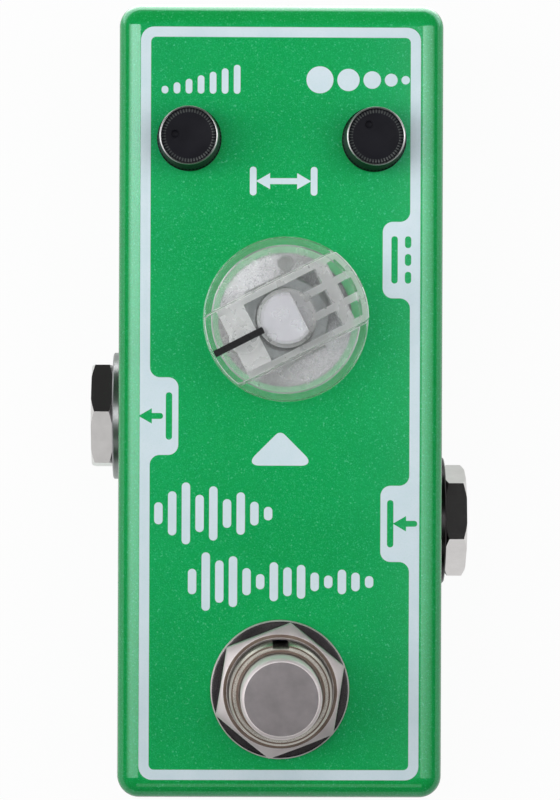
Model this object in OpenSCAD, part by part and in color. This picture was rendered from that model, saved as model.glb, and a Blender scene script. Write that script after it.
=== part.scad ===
// Small-format audio delay pedal: a cast box with three rotary controls, a footswitch,
// a jack in each side wall, a power socket, and the boards and parts that it holds.
// Millimetres. X runs to the input side, Y to the knob end, Z up from the table.

/* [Enclosure] */
// Width of the cast body
body_w = 38.5; // [38:0.5:46]
// Length of the cast body
body_l = 94.1; // [93.5:0.1:110]
// Height of the cast body above its bottom cover
body_h = 29; // [29:0.5:34]
// Thickness of the side walls
wall = 2; // [1.6:0.1:2.4]
// Thickness of the top panel
top_t = 2.2; // [1.8:0.1:2.6]
// Radius of the top edges and the upright corners
edge_r = 2.6; // [1:0.1:4]
// Radius of the corner posts that take the cover screws
boss_r = 3; // [2.6:0.1:3.2]
// Distance from the outside of a wall to a corner post's centre
boss_inset = 4.4; // [4.2:0.1:4.6]

/* [Bottom cover] */
// Thickness of the bottom cover
cover_t = 2; // [1.8:0.1:3]
// Height of the lip that locates the cover in the body
lip_h = 1.2; // [0.6:0.1:2]
// Thickness of that lip
lip_t = 1.4; // [1:0.1:2]
// Thread diameter of the cover screws
screw_d = 3; // [2.5:0.1:3.2]
// Head diameter of the cover screws
screw_head_d = 5.4; // [5:0.1:6]
// Height of the countersunk head
screw_head_h = 1.3; // [1:0.1:1.5]
// Overall length of a cover screw
screw_l = 10; // [8:0.5:14]
// Diameter of a rubber foot
foot_d = 8; // [6:0.5:10]
// Height of a rubber foot
foot_h = 1.5; // [1:0.1:3]
// Distance from the long side to a foot's centre
foot_inset_x = 7; // [6:0.5:9]
// Distance from the short side to a foot's centre
foot_inset_y = 13.5; // [12.5:0.5:18]

/* [Boards] */
// Thickness of both circuit boards
board_t = 1.6; // [1:0.1:1.6]
// Gap between the main board and the walls and posts
board_gap = 0.8; // [0.4:0.1:1.2]
// Width of the board under the footswitch
switch_board_w = 19; // [17:0.5:21]

/* [Time control] */
// Offset of the time control from the centre line
time_x = 0.5; // [-1:0.1:1]
// Distance from the knob end to the time control
time_from_end = 37.4; // [36:0.05:38]
// Direction of the time pointer from +X
time_angle = 207; // [90:1:330]
// Side of the square time pot body
time_pot_w = 9.4; // [9:0.1:9.6]
// Height of the time pot body
time_pot_h = 6.5; // [6.5:0.1:7]
// Outer diameter of the threaded bush
time_bush_d = 7; // [7:0.1:8]
// Diameter of the turning shaft
time_shaft_d = 6; // [5:0.1:6]
// Depth of the flat on the shaft
time_flat = 1.4; // [0.8:0.1:1.6]
// Diameter of the bright washer under the knob
time_washer_d = 15.8; // [15.6:0.1:16.8]
// Thickness of that washer
time_washer_t = 0.6; // [0.4:0.1:0.8]
// Width across flats of the bush nut
time_nut_af = 10; // [9.5:0.1:10.2]
// Height of the bush nut
time_nut_h = 2; // [1.6:0.1:2]
// Height of the chamfer at that nut's corners
time_nut_chamfer = 0.55; // [0.4:0.05:0.7]
// Turn of that nut about the shaft
time_nut_turn = 27; // [0:1:59]

/* [Time knob] */
// Outer radius of the round skirt
skirt_r = 9.7; // [9.7:0.05:10.5]
// Wall of the skirt
skirt_wall = 0.95; // [0.8:0.05:1]
// Height of the skirt
skirt_h = 4; // [3.9:0.1:4.6]
// Depth of the hollow under the skirt
skirt_hollow = 2.7; // [2.6:0.1:2.8]
// Width of the grip bar
bar_w = 9.4; // [9:0.1:11]
// How far the bar's round ends stand in from the skirt
bar_step = 0.15; // [0.1:0.05:0.5]
// Height of the whole knob
time_knob_h = 10.3; // [9:0.1:12]
// Wall of the hollow grip bar
bar_wall = 1.1; // [0.8:0.1:1.3]
// Top of the hollow grip bar
bar_top = 1.6; // [1.2:0.1:2]
// Radius of the collar that grips the shaft
collar_r = 3.5; // [3.4:0.1:4.2]
// Distance from the axis to the cross wall in the grip bar
cross_wall_from = 5.5; // [5:0.1:6]
// Thickness of that cross wall
cross_wall_t = 1.5; // [1:0.1:1.6]
// Gap under the knobs
knob_gap = 0.5; // [0.3:0.1:0.8]
// Width of the pointer line
pointer_w = 0.8; // [0.5:0.05:1]
// Depth of the pointer line's groove
pointer_t = 0.3; // [0.2:0.05:0.5]
// Distance from the axis to the pointer's inner end
pointer_from = 3; // [2.5:0.1:4]
// Distance from the pointer's outer end to the end of the bar
pointer_end = 0.3; // [0.2:0.1:1]

/* [Level and repeat controls] */
// Distance from the knob end to the two small knobs
small_from_end = 16.1; // [15:0.05:16.5]
// Spacing of each small knob from its long side
small_spacing = 8.35; // [8:0.05:8.5]
// Direction of the level pointer from +X
level_angle = 174; // [90:1:300]
// Direction of the repeat pointer from +X
repeat_angle = 121.5; // [90:0.5:300]
// Side of a square small pot body
small_pot_w = 9.6; // [9:0.1:10]
// Height of a small pot body
small_pot_h = 5; // [4:0.1:6]
// Diameter of a small pot's shaft
small_shaft_d = 4; // [3.5:0.1:4.4]
// Diameter of a small knob at its base
small_knob_d = 7.6; // [7:0.1:8]
// Diameter of a small knob at its top
small_knob_top_d = 6.9; // [6.6:0.1:7.1]
// Height of a small knob
small_knob_h = 6; // [5:0.1:8]
// Depth of the dish in a small knob's top
small_dish = 0.45; // [0.3:0.05:0.6]
// Width of the rim round that dish
small_rim = 0.3; // [0.25:0.05:0.5]
// Thickness left under that dish
small_floor = 0.9; // [0.6:0.1:1.2]
// Diameter of the pointer dimple
dimple_d = 0.9; // [0.6:0.1:1.2]
// Distance from the axis to the pointer dimple
dimple_from = 1.6; // [1.2:0.1:2]

/* [Status light] */
// Diameter of the status light's lens
led_d = 3; // [2.5:0.1:3]
// Distance from the time control's axis to the light
led_from = 6.6; // [6.5:0.1:6.8]
// Diameter of the hole in the panel and the washer above the light
led_window_d = 1.8; // [1.6:0.1:2.4]

/* [Footswitch] */
// Distance from the footswitch end to the footswitch
switch_from_end = 13.05; // [12.55:0.05:14]
// Side of the square switch case
switch_case_w = 17; // [16:0.5:17]
// Height of the switch case
switch_case_h = 12.5; // [11:0.5:13]
// Diameter of the threaded bush
switch_bush_d = 12; // [11.5:0.1:12.5]
// Height of the bush above the top panel
switch_bush_rise = 7.6; // [6:0.1:9]
// Diameter of the dress washer
switch_washer_d = 16.4; // [15.5:0.1:17]
// Thickness of the dress washer
switch_washer_t = 0.8; // [0.6:0.1:1.2]
// Width across flats of the footswitch nuts
switch_nut_af = 14; // [13.5:0.1:14.5]
// Height of the upper nut
switch_nut_h = 2.4; // [2:0.1:3]
// Height of the lower nut
switch_lock_h = 2; // [1.8:0.1:2.4]
// Height of the chamfer at both nuts' corners
switch_nut_chamfer = 0.8; // [0.5:0.05:0.85]
// Turn of the upper nut
switch_nut_turn = 81; // [0:1:90]
// Thickness of the lock washer under the panel
lock_washer_t = 0.8; // [0.6:0.1:1]
// Diameter of the plunger
plunger_d = 9.4; // [8.5:0.1:9.6]
// Height of the plunger's top above the panel
plunger_rise = 13.6; // [12:0.1:16]
// Travel of the plunger
plunger_travel = 2.5; // [1.5:0.1:3]
// Thickness of the flange that keeps the plunger in
plunger_flange_t = 1.5; // [1:0.1:2]
// Width of the keyway in the bush
keyway_w = 1.9; // [1.5:0.1:2.2]
// Depth of the keyway in the bush
keyway_t = 0.7; // [0.5:0.1:0.9]
// Wire diameter of the return spring
spring_wire_d = 0.8; // [0.6:0.05:0.9]
// Turns of the return spring
spring_turns = 4; // [3:1:5]

/* [Jacks] */
// Distance from the footswitch end to the output jack
output_from_end = 45.2; // [44.5:0.05:45.3]
// Distance from the footswitch end to the input jack
input_from_end = 32.5; // [31.9:0.05:32.8]
// Bore for the plug
jack_bore_d = 6.4; // [6.35:0.05:6.6]
// Width and height of a jack body
jack_w = 12; // [11.4:0.1:12]
// Length of a jack body
jack_l = 27.5; // [26:0.5:29]
// Closed end of a jack body behind the bore
jack_end_t = 1.5; // [1:0.1:2]
// Diameter of a jack's threaded bush
jack_bush_d = 9; // [8.5:0.1:9.4]
// Diameter of a jack's washer
jack_washer_d = 15.5; // [14.5:0.1:16]
// Thickness of a jack's washer
jack_washer_t = 1; // [0.8:0.05:1.5]
// Width across flats of a jack's nut
jack_nut_af = 12; // [11.5:0.1:12.5]
// Height of a jack's nut
jack_nut_h = 2.6; // [2:0.1:3]
// Height of the chamfer at that nut's corners
jack_nut_chamfer = 0.4; // [0.15:0.05:0.6]
// Turn of the output jack's nut
output_nut_turn = 4.6; // [0:0.1:59]
// Turn of the input jack's nut
input_nut_turn = 17.4; // [0:0.1:59]

/* [Power socket] */
// Distance from the footswitch end to the power socket
power_from_end = 63.85; // [62.5:0.05:64]
// Width of the socket's body
power_w = 9; // [8.6:0.1:9.6]
// Length of the socket's body behind the wall
power_l = 14; // [13:0.5:15]
// Height of the socket's body
power_h = 11; // [10.4:0.1:11.5]
// Depth of the socket's axis below the main board
power_drop = 6.3; // [5.8:0.1:6.4]
// Diameter of the nose that passes the wall
power_nose_d = 8.4; // [8:0.1:8.8]
// Diameter of the socket
power_bore_d = 6.4; // [6:0.1:6.6]
// Depth of the socket
power_depth = 9.5; // [9:0.1:10]
// Diameter of the centre pin
power_pin_d = 2; // [2:0.1:2.5]

/* [Fits] */
// Radial clearance of running and threaded fits
fit = 0.05; // [0.03:0.01:0.08]
// Radial clearance of a part that passes through a panel
pass = 0.2; // [0.1:0.05:0.3]

/* [Hidden] */

$fn = 48;
// Fineness of the rounded shell
shell_fn = 32;
edge_step = 360 / shell_fn;
// How far a cut runs past the face that it opens
past = 0.5;

// Levels
cover_z = foot_h;
body_z = cover_z + cover_t;
top_z = body_z + body_h;
ceiling_z = top_z - top_t;
board_top_z = ceiling_z - time_pot_h;
board_z = board_top_z - board_t;
jack_z = board_z - jack_w / 2;
power_z = board_z - power_drop;
knob_z = top_z + knob_gap;

// Places on the panel and in the walls
inner_x = body_w / 2 - wall;
inner_y = body_l / 2 - wall;
boss_x = body_w / 2 - boss_inset;
boss_y = body_l / 2 - boss_inset;
time_y = body_l / 2 - time_from_end;
small_x = body_w / 2 - small_spacing;
small_y = body_l / 2 - small_from_end;
led_y = time_y + led_from;
switch_y = switch_from_end - body_l / 2;
output_y = output_from_end - body_l / 2;
input_y = input_from_end - body_l / 2;
power_y = power_from_end - body_l / 2;

// Colours, as red, green and blue shares
green_paint = [0.09, 0.58, 0.31];
bright_metal = [0.78, 0.78, 0.79];
dark_metal = [0.45, 0.44, 0.45];
black_plastic = [0.1, 0.1, 0.11];
clear_plastic = [0.82, 0.9, 0.88, 0.5];
board_green = [0.05, 0.3, 0.16];
copper_alloy = [0.8, 0.66, 0.35];

module at_corners(x, y) {
    for (side = [-1, 1], end = [-1, 1])
        translate([side * x, end * y, 0])
            children();
}

module ring(r_out, r_in, h) {
    difference() {
        cylinder(r = r_out, h = h);
        translate([0, 0, -past])
            cylinder(r = r_in, h = h + 2 * past);
    }
}

// Places a side-wall fitting: local Z points out through the wall, 0 is the wall's inner face
module in_wall(side, y, z) {
    translate([side * inner_x, y, z])
        rotate([0, side * 90, 0])
            children();
}

// Turns a part over so that it hangs under the main board
module under_board(x, y) {
    translate([x, y, board_z])
        mirror([0, 0, 1])
            children();
}

// A hexagon nut with both ends chamfered at 30 degrees
module hex_nut(af, h, bore_d, turn, chamfer) {
    corner_r = af / 2 / cos(30);
    face_r = corner_r - chamfer / tan(30);
    cone_r = corner_r + past / 5;
    cone_h = (cone_r - face_r) * tan(30);
    difference() {
        intersection() {
            rotate(turn)
                cylinder(r = corner_r, h = h, $fn = 6);
            rotate_extrude()
                polygon([[0, 0], [face_r, 0], [cone_r, cone_h], [cone_r, h - cone_h], [face_r, h], [0, h]]);
        }
        translate([0, 0, -past])
            cylinder(d = bore_d, h = h + 2 * past);
    }
}

// Enclosure

// Half section of a rounded corner post of the shell
module corner_section() {
    arc = [for (a = [0 : edge_step : 90]) [edge_r * cos(a), body_h - edge_r + edge_r * sin(a)]];
    polygon(concat([[0, 0], [edge_r, 0]], arc));
}

module cast_block() {
    hull()
        at_corners(body_w / 2 - edge_r, body_l / 2 - edge_r)
            rotate_extrude($fn = shell_fn)
                corner_section();
}

// One corner post, filled out to the walls behind it
module corner_post(side, end) {
    fill = boss_inset - wall + past;
    translate([side * boss_x, end * boss_y, 0]) {
        cylinder(r = boss_r, h = body_h - top_t);
        translate([side < 0 ? -fill : 0, end < 0 ? -fill : 0, 0])
            cube([fill, fill, body_h - top_t]);
    }
}

module panel_hole(x, y, d) {
    translate([x, y, body_h - top_t - past])
        cylinder(d = d, h = top_t + 2 * past);
}

// Depth of a screw hole past the screw's end
screw_spare = 2;
// Gap round a small shaft in the panel
shaft_pass = 2 * pass;

module enclosure() {
    screw_hole_h = screw_l - cover_t + screw_spare;
    color(green_paint)
        difference() {
            translate([0, 0, body_z])
                difference() {
                    union() {
                        difference() {
                            cast_block();
                            translate([-inner_x, -inner_y, -past])
                                cube([2 * inner_x, 2 * inner_y, body_h - top_t + past]);
                        }
                        for (side = [-1, 1], end = [-1, 1])
                            corner_post(side, end);
                    }
                    at_corners(boss_x, boss_y)
                        translate([0, 0, -past])
                            cylinder(d = screw_d + 2 * fit, h = screw_hole_h + past);
                    panel_hole(time_x, time_y, time_bush_d + 2 * pass);
                    panel_hole(time_x, led_y, led_window_d);
                    for (side = [-1, 1])
                        panel_hole(side * small_x, small_y, small_shaft_d + 2 * shaft_pass);
                    panel_hole(0, switch_y, switch_bush_d + 2 * pass);
                }
            in_wall(-1, output_y, jack_z)
                wall_hole(jack_bush_d);
            in_wall(1, input_y, jack_z)
                wall_hole(jack_bush_d);
            in_wall(1, power_y, power_z)
                wall_hole(power_nose_d);
        }
}

module wall_hole(d) {
    translate([0, 0, -past])
        cylinder(d = d + 2 * pass, h = wall + 2 * past);
}

// Bottom cover with its locating lip, screws and feet

module cover_outline() {
    square([body_w - 2 * edge_r, body_l], center = true);
    square([body_w, body_l - 2 * edge_r], center = true);
    at_corners(body_w / 2 - edge_r, body_l / 2 - edge_r)
        circle(r = edge_r);
}

module base_cover() {
    lip_x = inner_x - pass;
    lip_y = inner_y - pass;
    lip_half_w = boss_x - boss_r - pass;
    lip_half_l = boss_y - boss_r - pass;
    color(green_paint)
        translate([0, 0, cover_z])
            difference() {
                union() {
                    linear_extrude(cover_t)
                        cover_outline();
                    for (side = [-1, 1]) {
                        translate([side * (lip_x - lip_t / 2), 0, cover_t + lip_h / 2])
                            cube([lip_t, 2 * lip_half_l, lip_h], center = true);
                        translate([0, side * (lip_y - lip_t / 2), cover_t + lip_h / 2])
                            cube([2 * lip_half_w, lip_t, lip_h], center = true);
                    }
                }
                at_corners(boss_x, boss_y) {
                    translate([0, 0, -past])
                        cylinder(d = screw_d + 2 * pass, h = cover_t + 2 * past);
                    cylinder(d1 = screw_head_d + 2 * pass, d2 = screw_d + 2 * pass, h = screw_head_h);
                }
            }
}

// Cross recess in a screw head
recess_l = 3;
recess_w = 0.7;
recess_h = 0.8;

// A countersunk screw, head down
module cover_screw() {
    difference() {
        union() {
            cylinder(d1 = screw_head_d, d2 = screw_d, h = screw_head_h);
            cylinder(d = screw_d, h = screw_l);
        }
        for (turn = [0, 90])
            rotate(turn)
                translate([-recess_l / 2, -recess_w / 2, -past])
                    cube([recess_l, recess_w, recess_h + past]);
    }
}

module cover_screws() {
    color(dark_metal)
        translate([0, 0, cover_z])
            at_corners(boss_x, boss_y)
                cover_screw();
}

// Bevel round the bottom of a foot
foot_bevel = 0.5;

module rubber_feet() {
    color(black_plastic)
        at_corners(body_w / 2 - foot_inset_x, body_l / 2 - foot_inset_y) {
            cylinder(d1 = foot_d - 2 * foot_bevel, d2 = foot_d, h = foot_bevel);
            translate([0, 0, foot_bevel])
                cylinder(d = foot_d, h = foot_h - foot_bevel);
        }
}

// Main board and the parts that hang under it

board_x = inner_x - board_gap;
board_y_max = boss_y - boss_r - board_gap;
// Room between the footswitch and the main board
link_zone = 2.2;
board_y_min = switch_y + switch_case_w / 2 + link_zone;

module main_board() {
    color(board_green)
        translate([-board_x, board_y_min, board_z])
            cube([2 * board_x, board_y_max - board_y_min, board_t]);
}

// Wire leads of the regulator and the status light
lead_pitch = 2.54;
lead_w = 0.5;

// Flat chips: lead pitch, body, leads and the distance across the leads
chip_pitch = 1.27;
chip_w = 3.9;
chip_body_h = 1.5;
chip_stand = 0.2;
chip_end_cut = 0.3;
chip_lead_w = 0.4;
chip_lead_t = 0.25;
chip_reach = 6;
// Gap from a chip's side to the upright of its leads
chip_leg_gap = 0.3;

// A flat chip: each lead's foot lies on the board, and its upright bends in to the body
module two_row_chip(leads) {
    body_len = leads * chip_pitch - chip_end_cut;
    bend_z = chip_stand + chip_body_h / 2;
    leg_y = chip_w / 2 + chip_leg_gap;
    translate([-body_len / 2, -chip_w / 2, chip_stand])
        cube([body_len, chip_w, chip_body_h]);
    for (i = [0 : leads - 1], turn = [0, 180])
        rotate(turn)
            translate([(i - (leads - 1) / 2) * chip_pitch - chip_lead_w / 2, 0, 0]) {
                translate([0, leg_y, 0])
                    cube([chip_lead_w, chip_reach / 2 - leg_y, chip_lead_t]);
                translate([0, leg_y, 0])
                    cube([chip_lead_w, chip_lead_t, bend_z]);
                translate([0, chip_w / 2 - chip_leg_gap, bend_z - chip_lead_t])
                    cube([chip_lead_w, 2 * chip_leg_gap + chip_lead_t, chip_lead_t]);
            }
}

// Parts under the board stand in rows that follow the power socket
delay_chip_leads = 8;
amplifier_leads = 4;
chip_x = -7;
delay_chip_row = 2.3;
amplifier_row = 8.9;

module delay_chip() {
    color(black_plastic)
        under_board(chip_x, power_y + delay_chip_row)
            two_row_chip(delay_chip_leads);
}

module amplifier_chip() {
    color(black_plastic)
        under_board(chip_x, power_y + amplifier_row)
            two_row_chip(amplifier_leads);
}

// Round capacitors: can, its crimped groove, and their block at the board's edge
can_d = 5;
can_h = 7;
can_groove_z = 1;
can_groove_h = 0.6;
can_groove_t = 0.25;
can_row = -6.6;
can_pitch = 5.6;
can_edge = 0.5;

module electrolytic_capacitors() {
    upper_z = can_groove_z + can_groove_h;
    first_x = can_edge + can_d / 2 - board_x;
    color([0.12, 0.13, 0.22])
        for (i = [0, 1], j = [-1, 1])
            under_board(first_x + i * can_pitch, power_y + can_row + j * can_pitch / 2) {
                cylinder(d = can_d, h = can_groove_z);
                cylinder(d = can_d - 2 * can_groove_t, h = can_h - can_groove_z);
                translate([0, 0, upper_z])
                    cylinder(d = can_d, h = can_h - upper_z);
            }
}

// Box capacitors, side by side beyond the power socket
film_w = 2.6;
film_l = 6.5;
film_h = 5.5;
film_pitch = 3.4;
film_x = 8;
film_gap = 0.5;

module film_capacitors() {
    color([0.65, 0.18, 0.12])
        for (i = [-1 : 1])
            under_board(film_x + i * film_pitch, power_y + power_w / 2 + film_gap)
                translate([-film_w / 2, 0, 0])
                    cube([film_w, film_l, film_h]);
}

// Three-legged regulator with a flat side
regulator_d = 4.8;
regulator_h = 4.6;
regulator_flat = 1.1;
regulator_stand = 2;
regulator_x = -0.8;

module voltage_regulator() {
    color(black_plastic)
        under_board(regulator_x, power_y + amplifier_row) {
            translate([0, 0, regulator_stand])
                intersection() {
                    cylinder(d = regulator_d, h = regulator_h);
                    translate([-regulator_d / 2, -regulator_d / 2, 0])
                        cube([regulator_d - regulator_flat, regulator_d, regulator_h]);
                }
            for (i = [-1 : 1])
                translate([-lead_w / 2, i * lead_pitch / 2 - lead_w / 2, 0])
                    cube([lead_w, lead_w, regulator_stand + past]);
        }
}

// Flange round the foot of the status light
led_flange_h = 1;
led_flange_w = 0.25;
// Height of the light from its foot to the start of its dome
led_body_h = 1.7;

// Status light under the time knob, on two leads
module status_led() {
    dome_z = ceiling_z - pass - led_d / 2;
    flange_z = dome_z - led_body_h;
    color([0.75, 0.82, 0.9])
        translate([time_x, led_y, 0]) {
            translate([0, 0, flange_z])
                cylinder(d = led_d + 2 * led_flange_w, h = led_flange_h);
            translate([0, 0, flange_z])
                cylinder(d = led_d, h = dome_z - flange_z);
            intersection() {
                translate([0, 0, dome_z])
                    sphere(d = led_d);
                translate([-led_d, -led_d, dome_z])
                    cube(2 * led_d);
            }
            for (side = [-1, 1])
                translate([side * lead_pitch / 2 - lead_w / 2, -lead_w / 2, board_top_z])
                    cube([lead_w, lead_w, flange_z - board_top_z + past]);
        }
}

// Time control

time_nut_z = top_z + time_washer_t;
time_bush_end_z = time_nut_z + time_nut_h;
time_shaft_end_z = knob_z + time_knob_h - bar_top;
// Floor of a pot body under its shaft
shaft_floor = 0.8;

module at_time() {
    translate([time_x, time_y, 0])
        children();
}

module time_pot_body() {
    color(dark_metal)
        at_time()
            difference() {
                translate([-time_pot_w / 2, -time_pot_w / 2, board_top_z])
                    cube([time_pot_w, time_pot_w, time_pot_h]);
                translate([0, 0, board_top_z + shaft_floor])
                    cylinder(d = time_shaft_d + 2 * fit, h = time_pot_h);
            }
}

module time_pot_bush() {
    color(bright_metal)
        at_time()
            translate([0, 0, ceiling_z])
                ring(time_bush_d / 2, time_shaft_d / 2 + fit, time_bush_end_z - ceiling_z);
}

module time_pot_washer() {
    color(bright_metal)
        at_time()
            translate([0, 0, top_z])
                difference() {
                    ring(time_washer_d / 2, time_bush_d / 2 + pass, time_washer_t);
                    translate([0, led_from, -past])
                        cylinder(d = led_window_d, h = time_washer_t + 2 * past);
                }
}

module time_pot_nut() {
    color(bright_metal)
        at_time()
            translate([0, 0, time_nut_z])
                hex_nut(time_nut_af, time_nut_h, time_bush_d + 2 * fit, time_nut_turn, time_nut_chamfer);
}

// Section of the shaft with its flat, which faces away from the pointer
module shaft_section(clearance) {
    r = time_shaft_d / 2 + clearance;
    flat = time_shaft_d / 2 - time_flat + clearance;
    intersection() {
        circle(r = r);
        translate([-flat, -2 * r])
            square(4 * r);
    }
}

module time_pot_shaft() {
    round_end_z = time_bush_end_z + fit;
    color([0.8, 0.78, 0.86])
        at_time()
            rotate(time_angle) {
                translate([0, 0, board_top_z + shaft_floor])
                    cylinder(d = time_shaft_d, h = round_end_z - board_top_z - shaft_floor);
                translate([0, 0, round_end_z])
                    linear_extrude(time_shaft_end_z - round_end_z)
                        shaft_section(0);
            }
}

// Cavity of the grip bar: open below, with the collar, a cross wall and two ribs left standing
module bar_cavity() {
    cavity_h = time_knob_h - bar_top - skirt_hollow + past;
    cavity_r = skirt_r - bar_step - bar_wall;
    rib_gap = (bar_w - 4 * bar_wall) / 3;
    translate([0, 0, skirt_hollow - past])
        difference() {
            intersection() {
                cylinder(r = cavity_r, h = cavity_h);
                translate([-cavity_r, bar_wall - bar_w / 2, 0])
                    cube([2 * cavity_r, bar_w - 2 * bar_wall, cavity_h]);
            }
            translate([0, 0, -past])
                cylinder(r = collar_r, h = cavity_h + 2 * past);
            translate([-cross_wall_from - cross_wall_t, -bar_w, -past])
                cube([cross_wall_t, 2 * bar_w, cavity_h + 2 * past]);
            for (side = [-1, 1])
                translate([-cavity_r - past, side * (rib_gap + bar_wall) / 2 - bar_wall / 2, -past])
                    cube([cavity_r + past - collar_r / 2, bar_wall, cavity_h + 2 * past]);
        }
}

module pointer_bar(clearance) {
    pointer_to = skirt_r - bar_step - pointer_end;
    translate([pointer_from - clearance, -pointer_w / 2 - clearance, time_knob_h - pointer_t])
        cube([pointer_to - pointer_from + 2 * clearance, pointer_w + 2 * clearance, pointer_t]);
}

module at_time_knob() {
    translate([time_x, time_y, knob_z])
        rotate(time_angle)
            children();
}

module time_knob() {
    bar_r = skirt_r - bar_step;
    color(clear_plastic)
        at_time_knob()
            difference() {
                union() {
                    cylinder(r = skirt_r, h = skirt_h);
                    intersection() {
                        cylinder(r = bar_r, h = time_knob_h);
                        translate([-skirt_r, -bar_w / 2, skirt_hollow])
                            cube([2 * skirt_r, bar_w, time_knob_h]);
                    }
                }
                translate([0, 0, -past])
                    cylinder(r = skirt_r - skirt_wall, h = skirt_hollow + past);
                bar_cavity();
                translate([0, 0, skirt_hollow - past])
                    linear_extrude(time_knob_h - bar_top - skirt_hollow + past)
                        shaft_section(fit);
                pointer_groove();
            }
}

module pointer_groove() {
    pointer_bar(fit);
    translate([0, 0, pointer_t])
        pointer_bar(fit);
}

module time_pointer() {
    color(black_plastic)
        at_time_knob()
            pointer_bar(0);
}

// Level and repeat controls

small_shaft_end_z = knob_z + small_knob_h - small_dish - small_floor;
// Straight foot of a small knob, and the bevel of its rim
small_foot_h = 0.8;
rim_bevel = 0.12;

module at_small(side) {
    translate([side * small_x, small_y, 0])
        children();
}

module small_pot_body(side) {
    color(dark_metal)
        at_small(side)
            translate([0, 0, board_top_z])
                difference() {
                    translate([-small_pot_w / 2, -small_pot_w / 2, 0])
                        cube([small_pot_w, small_pot_w, small_pot_h]);
                    translate([0, 0, shaft_floor])
                        cylinder(d = small_shaft_d + 2 * fit, h = small_pot_h);
                }
}

module small_pot_shaft(side) {
    color(black_plastic)
        at_small(side)
            translate([0, 0, board_top_z + shaft_floor])
                cylinder(d = small_shaft_d, h = small_shaft_end_z - board_top_z - shaft_floor);
}

module small_knob(side, angle) {
    base_r = small_knob_d / 2;
    top_r = small_knob_top_d / 2;
    dish_r = top_r - small_rim;
    dish_z = small_knob_h - small_dish;
    color(black_plastic)
        at_small(side)
            translate([0, 0, knob_z])
                rotate(angle)
                    difference() {
                        rotate_extrude()
                            polygon([
                                [0, 0], [base_r, 0], [base_r, small_foot_h],
                                [top_r, small_knob_h - rim_bevel], [top_r - rim_bevel, small_knob_h],
                                [dish_r, small_knob_h], [dish_r, dish_z], [0, dish_z]
                            ]);
                        translate([0, 0, -past])
                            cylinder(d = small_shaft_d + 2 * fit, h = dish_z - small_floor + past);
                        translate([dimple_from, 0, dish_z - small_floor / 2])
                            cylinder(d = dimple_d, h = small_floor);
                    }
}

module level_pot_body() {
    small_pot_body(-1);
}

module level_pot_shaft() {
    small_pot_shaft(-1);
}

module level_knob() {
    small_knob(-1, level_angle);
}

module repeat_pot_body() {
    small_pot_body(1);
}

module repeat_pot_shaft() {
    small_pot_shaft(1);
}

module repeat_knob() {
    small_knob(1, repeat_angle);
}

// Footswitch

lock_nut_z = ceiling_z - lock_washer_t - switch_lock_h;
case_z = lock_nut_z - switch_case_h;
case_floor = 1.5;
plunger_r = plunger_d / 2;
plunger_bevel = 0.35;
// Step from the plunger out to its flange
flange_step = 0.5;
flange_r = plunger_r + flange_step;
chamber_r = flange_r + pass;
// At rest the flange stops just under the bush
flange_top_z = lock_nut_z - fit;
flange_z = flange_top_z - plunger_flange_t;
spring_r = flange_r - spring_wire_d - pass;
spring_z = case_z + case_floor;

module at_switch(z) {
    translate([0, switch_y, z])
        children();
}

module footswitch_case() {
    color([0.16, 0.24, 0.45])
        at_switch(case_z)
            difference() {
                translate([-switch_case_w / 2, -switch_case_w / 2, 0])
                    cube([switch_case_w, switch_case_w, switch_case_h]);
                translate([0, 0, case_floor])
                    cylinder(r = chamber_r, h = switch_case_h);
            }
}

module footswitch_bush() {
    bush_r = switch_bush_d / 2;
    bush_h = top_z + switch_bush_rise - lock_nut_z;
    color(bright_metal)
        at_switch(lock_nut_z)
            difference() {
                ring(bush_r, plunger_r + fit, bush_h);
                translate([-keyway_w / 2, bush_r - keyway_t, -past])
                    cube([keyway_w, keyway_t + past, bush_h + 2 * past]);
            }
}

module footswitch_washer() {
    color(bright_metal)
        at_switch(top_z)
            ring(switch_washer_d / 2, switch_bush_d / 2 + pass, switch_washer_t);
}

module footswitch_nut() {
    color(bright_metal)
        at_switch(top_z + switch_washer_t)
            hex_nut(switch_nut_af, switch_nut_h, switch_bush_d + 2 * fit, switch_nut_turn, switch_nut_chamfer);
}

module footswitch_lock_nut() {
    color(bright_metal)
        at_switch(lock_nut_z)
            hex_nut(switch_nut_af, switch_lock_h, switch_bush_d + 2 * fit, 0, switch_nut_chamfer);
}

module footswitch_lock_washer() {
    color(bright_metal)
        at_switch(ceiling_z - lock_washer_t)
            ring(switch_nut_af / 2, switch_bush_d / 2 + pass, lock_washer_t);
}

module footswitch_plunger() {
    end_z = top_z + plunger_rise;
    color(bright_metal)
        at_switch(0)
            rotate_extrude()
                polygon([
                    [0, flange_z], [flange_r, flange_z], [flange_r, flange_top_z],
                    [plunger_r, flange_top_z], [plunger_r, end_z - plunger_bevel],
                    [plunger_r - plunger_bevel, end_z], [0, end_z]
                ]);
}

// The return spring is one round wire wound from the case floor to the plunger's flange
curl_rings = 8;
wire_sides = 6;
spring_rings = spring_turns * curl_rings;
spring_rise = flange_z - spring_z - spring_wire_d - 2 * fit;

function spring_centre(i) = [
    spring_r * cos(i * 360 / curl_rings),
    spring_r * sin(i * 360 / curl_rings),
    spring_z + spring_wire_d / 2 + fit + spring_rise * i / spring_rings
];

function wire_point(i, k) =
    let (turn = i * 360 / curl_rings, lean = k * 360 / wire_sides, r = spring_wire_d / 2)
    spring_centre(i) + r * [cos(lean) * cos(turn), cos(lean) * sin(turn), sin(lean)];

spring_self_gap = min([
    for (i = [0 : spring_rings], j = [i + curl_rings / 2 : 1 : spring_rings])
        norm(spring_centre(i) - spring_centre(j))
]) - spring_wire_d;

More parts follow.
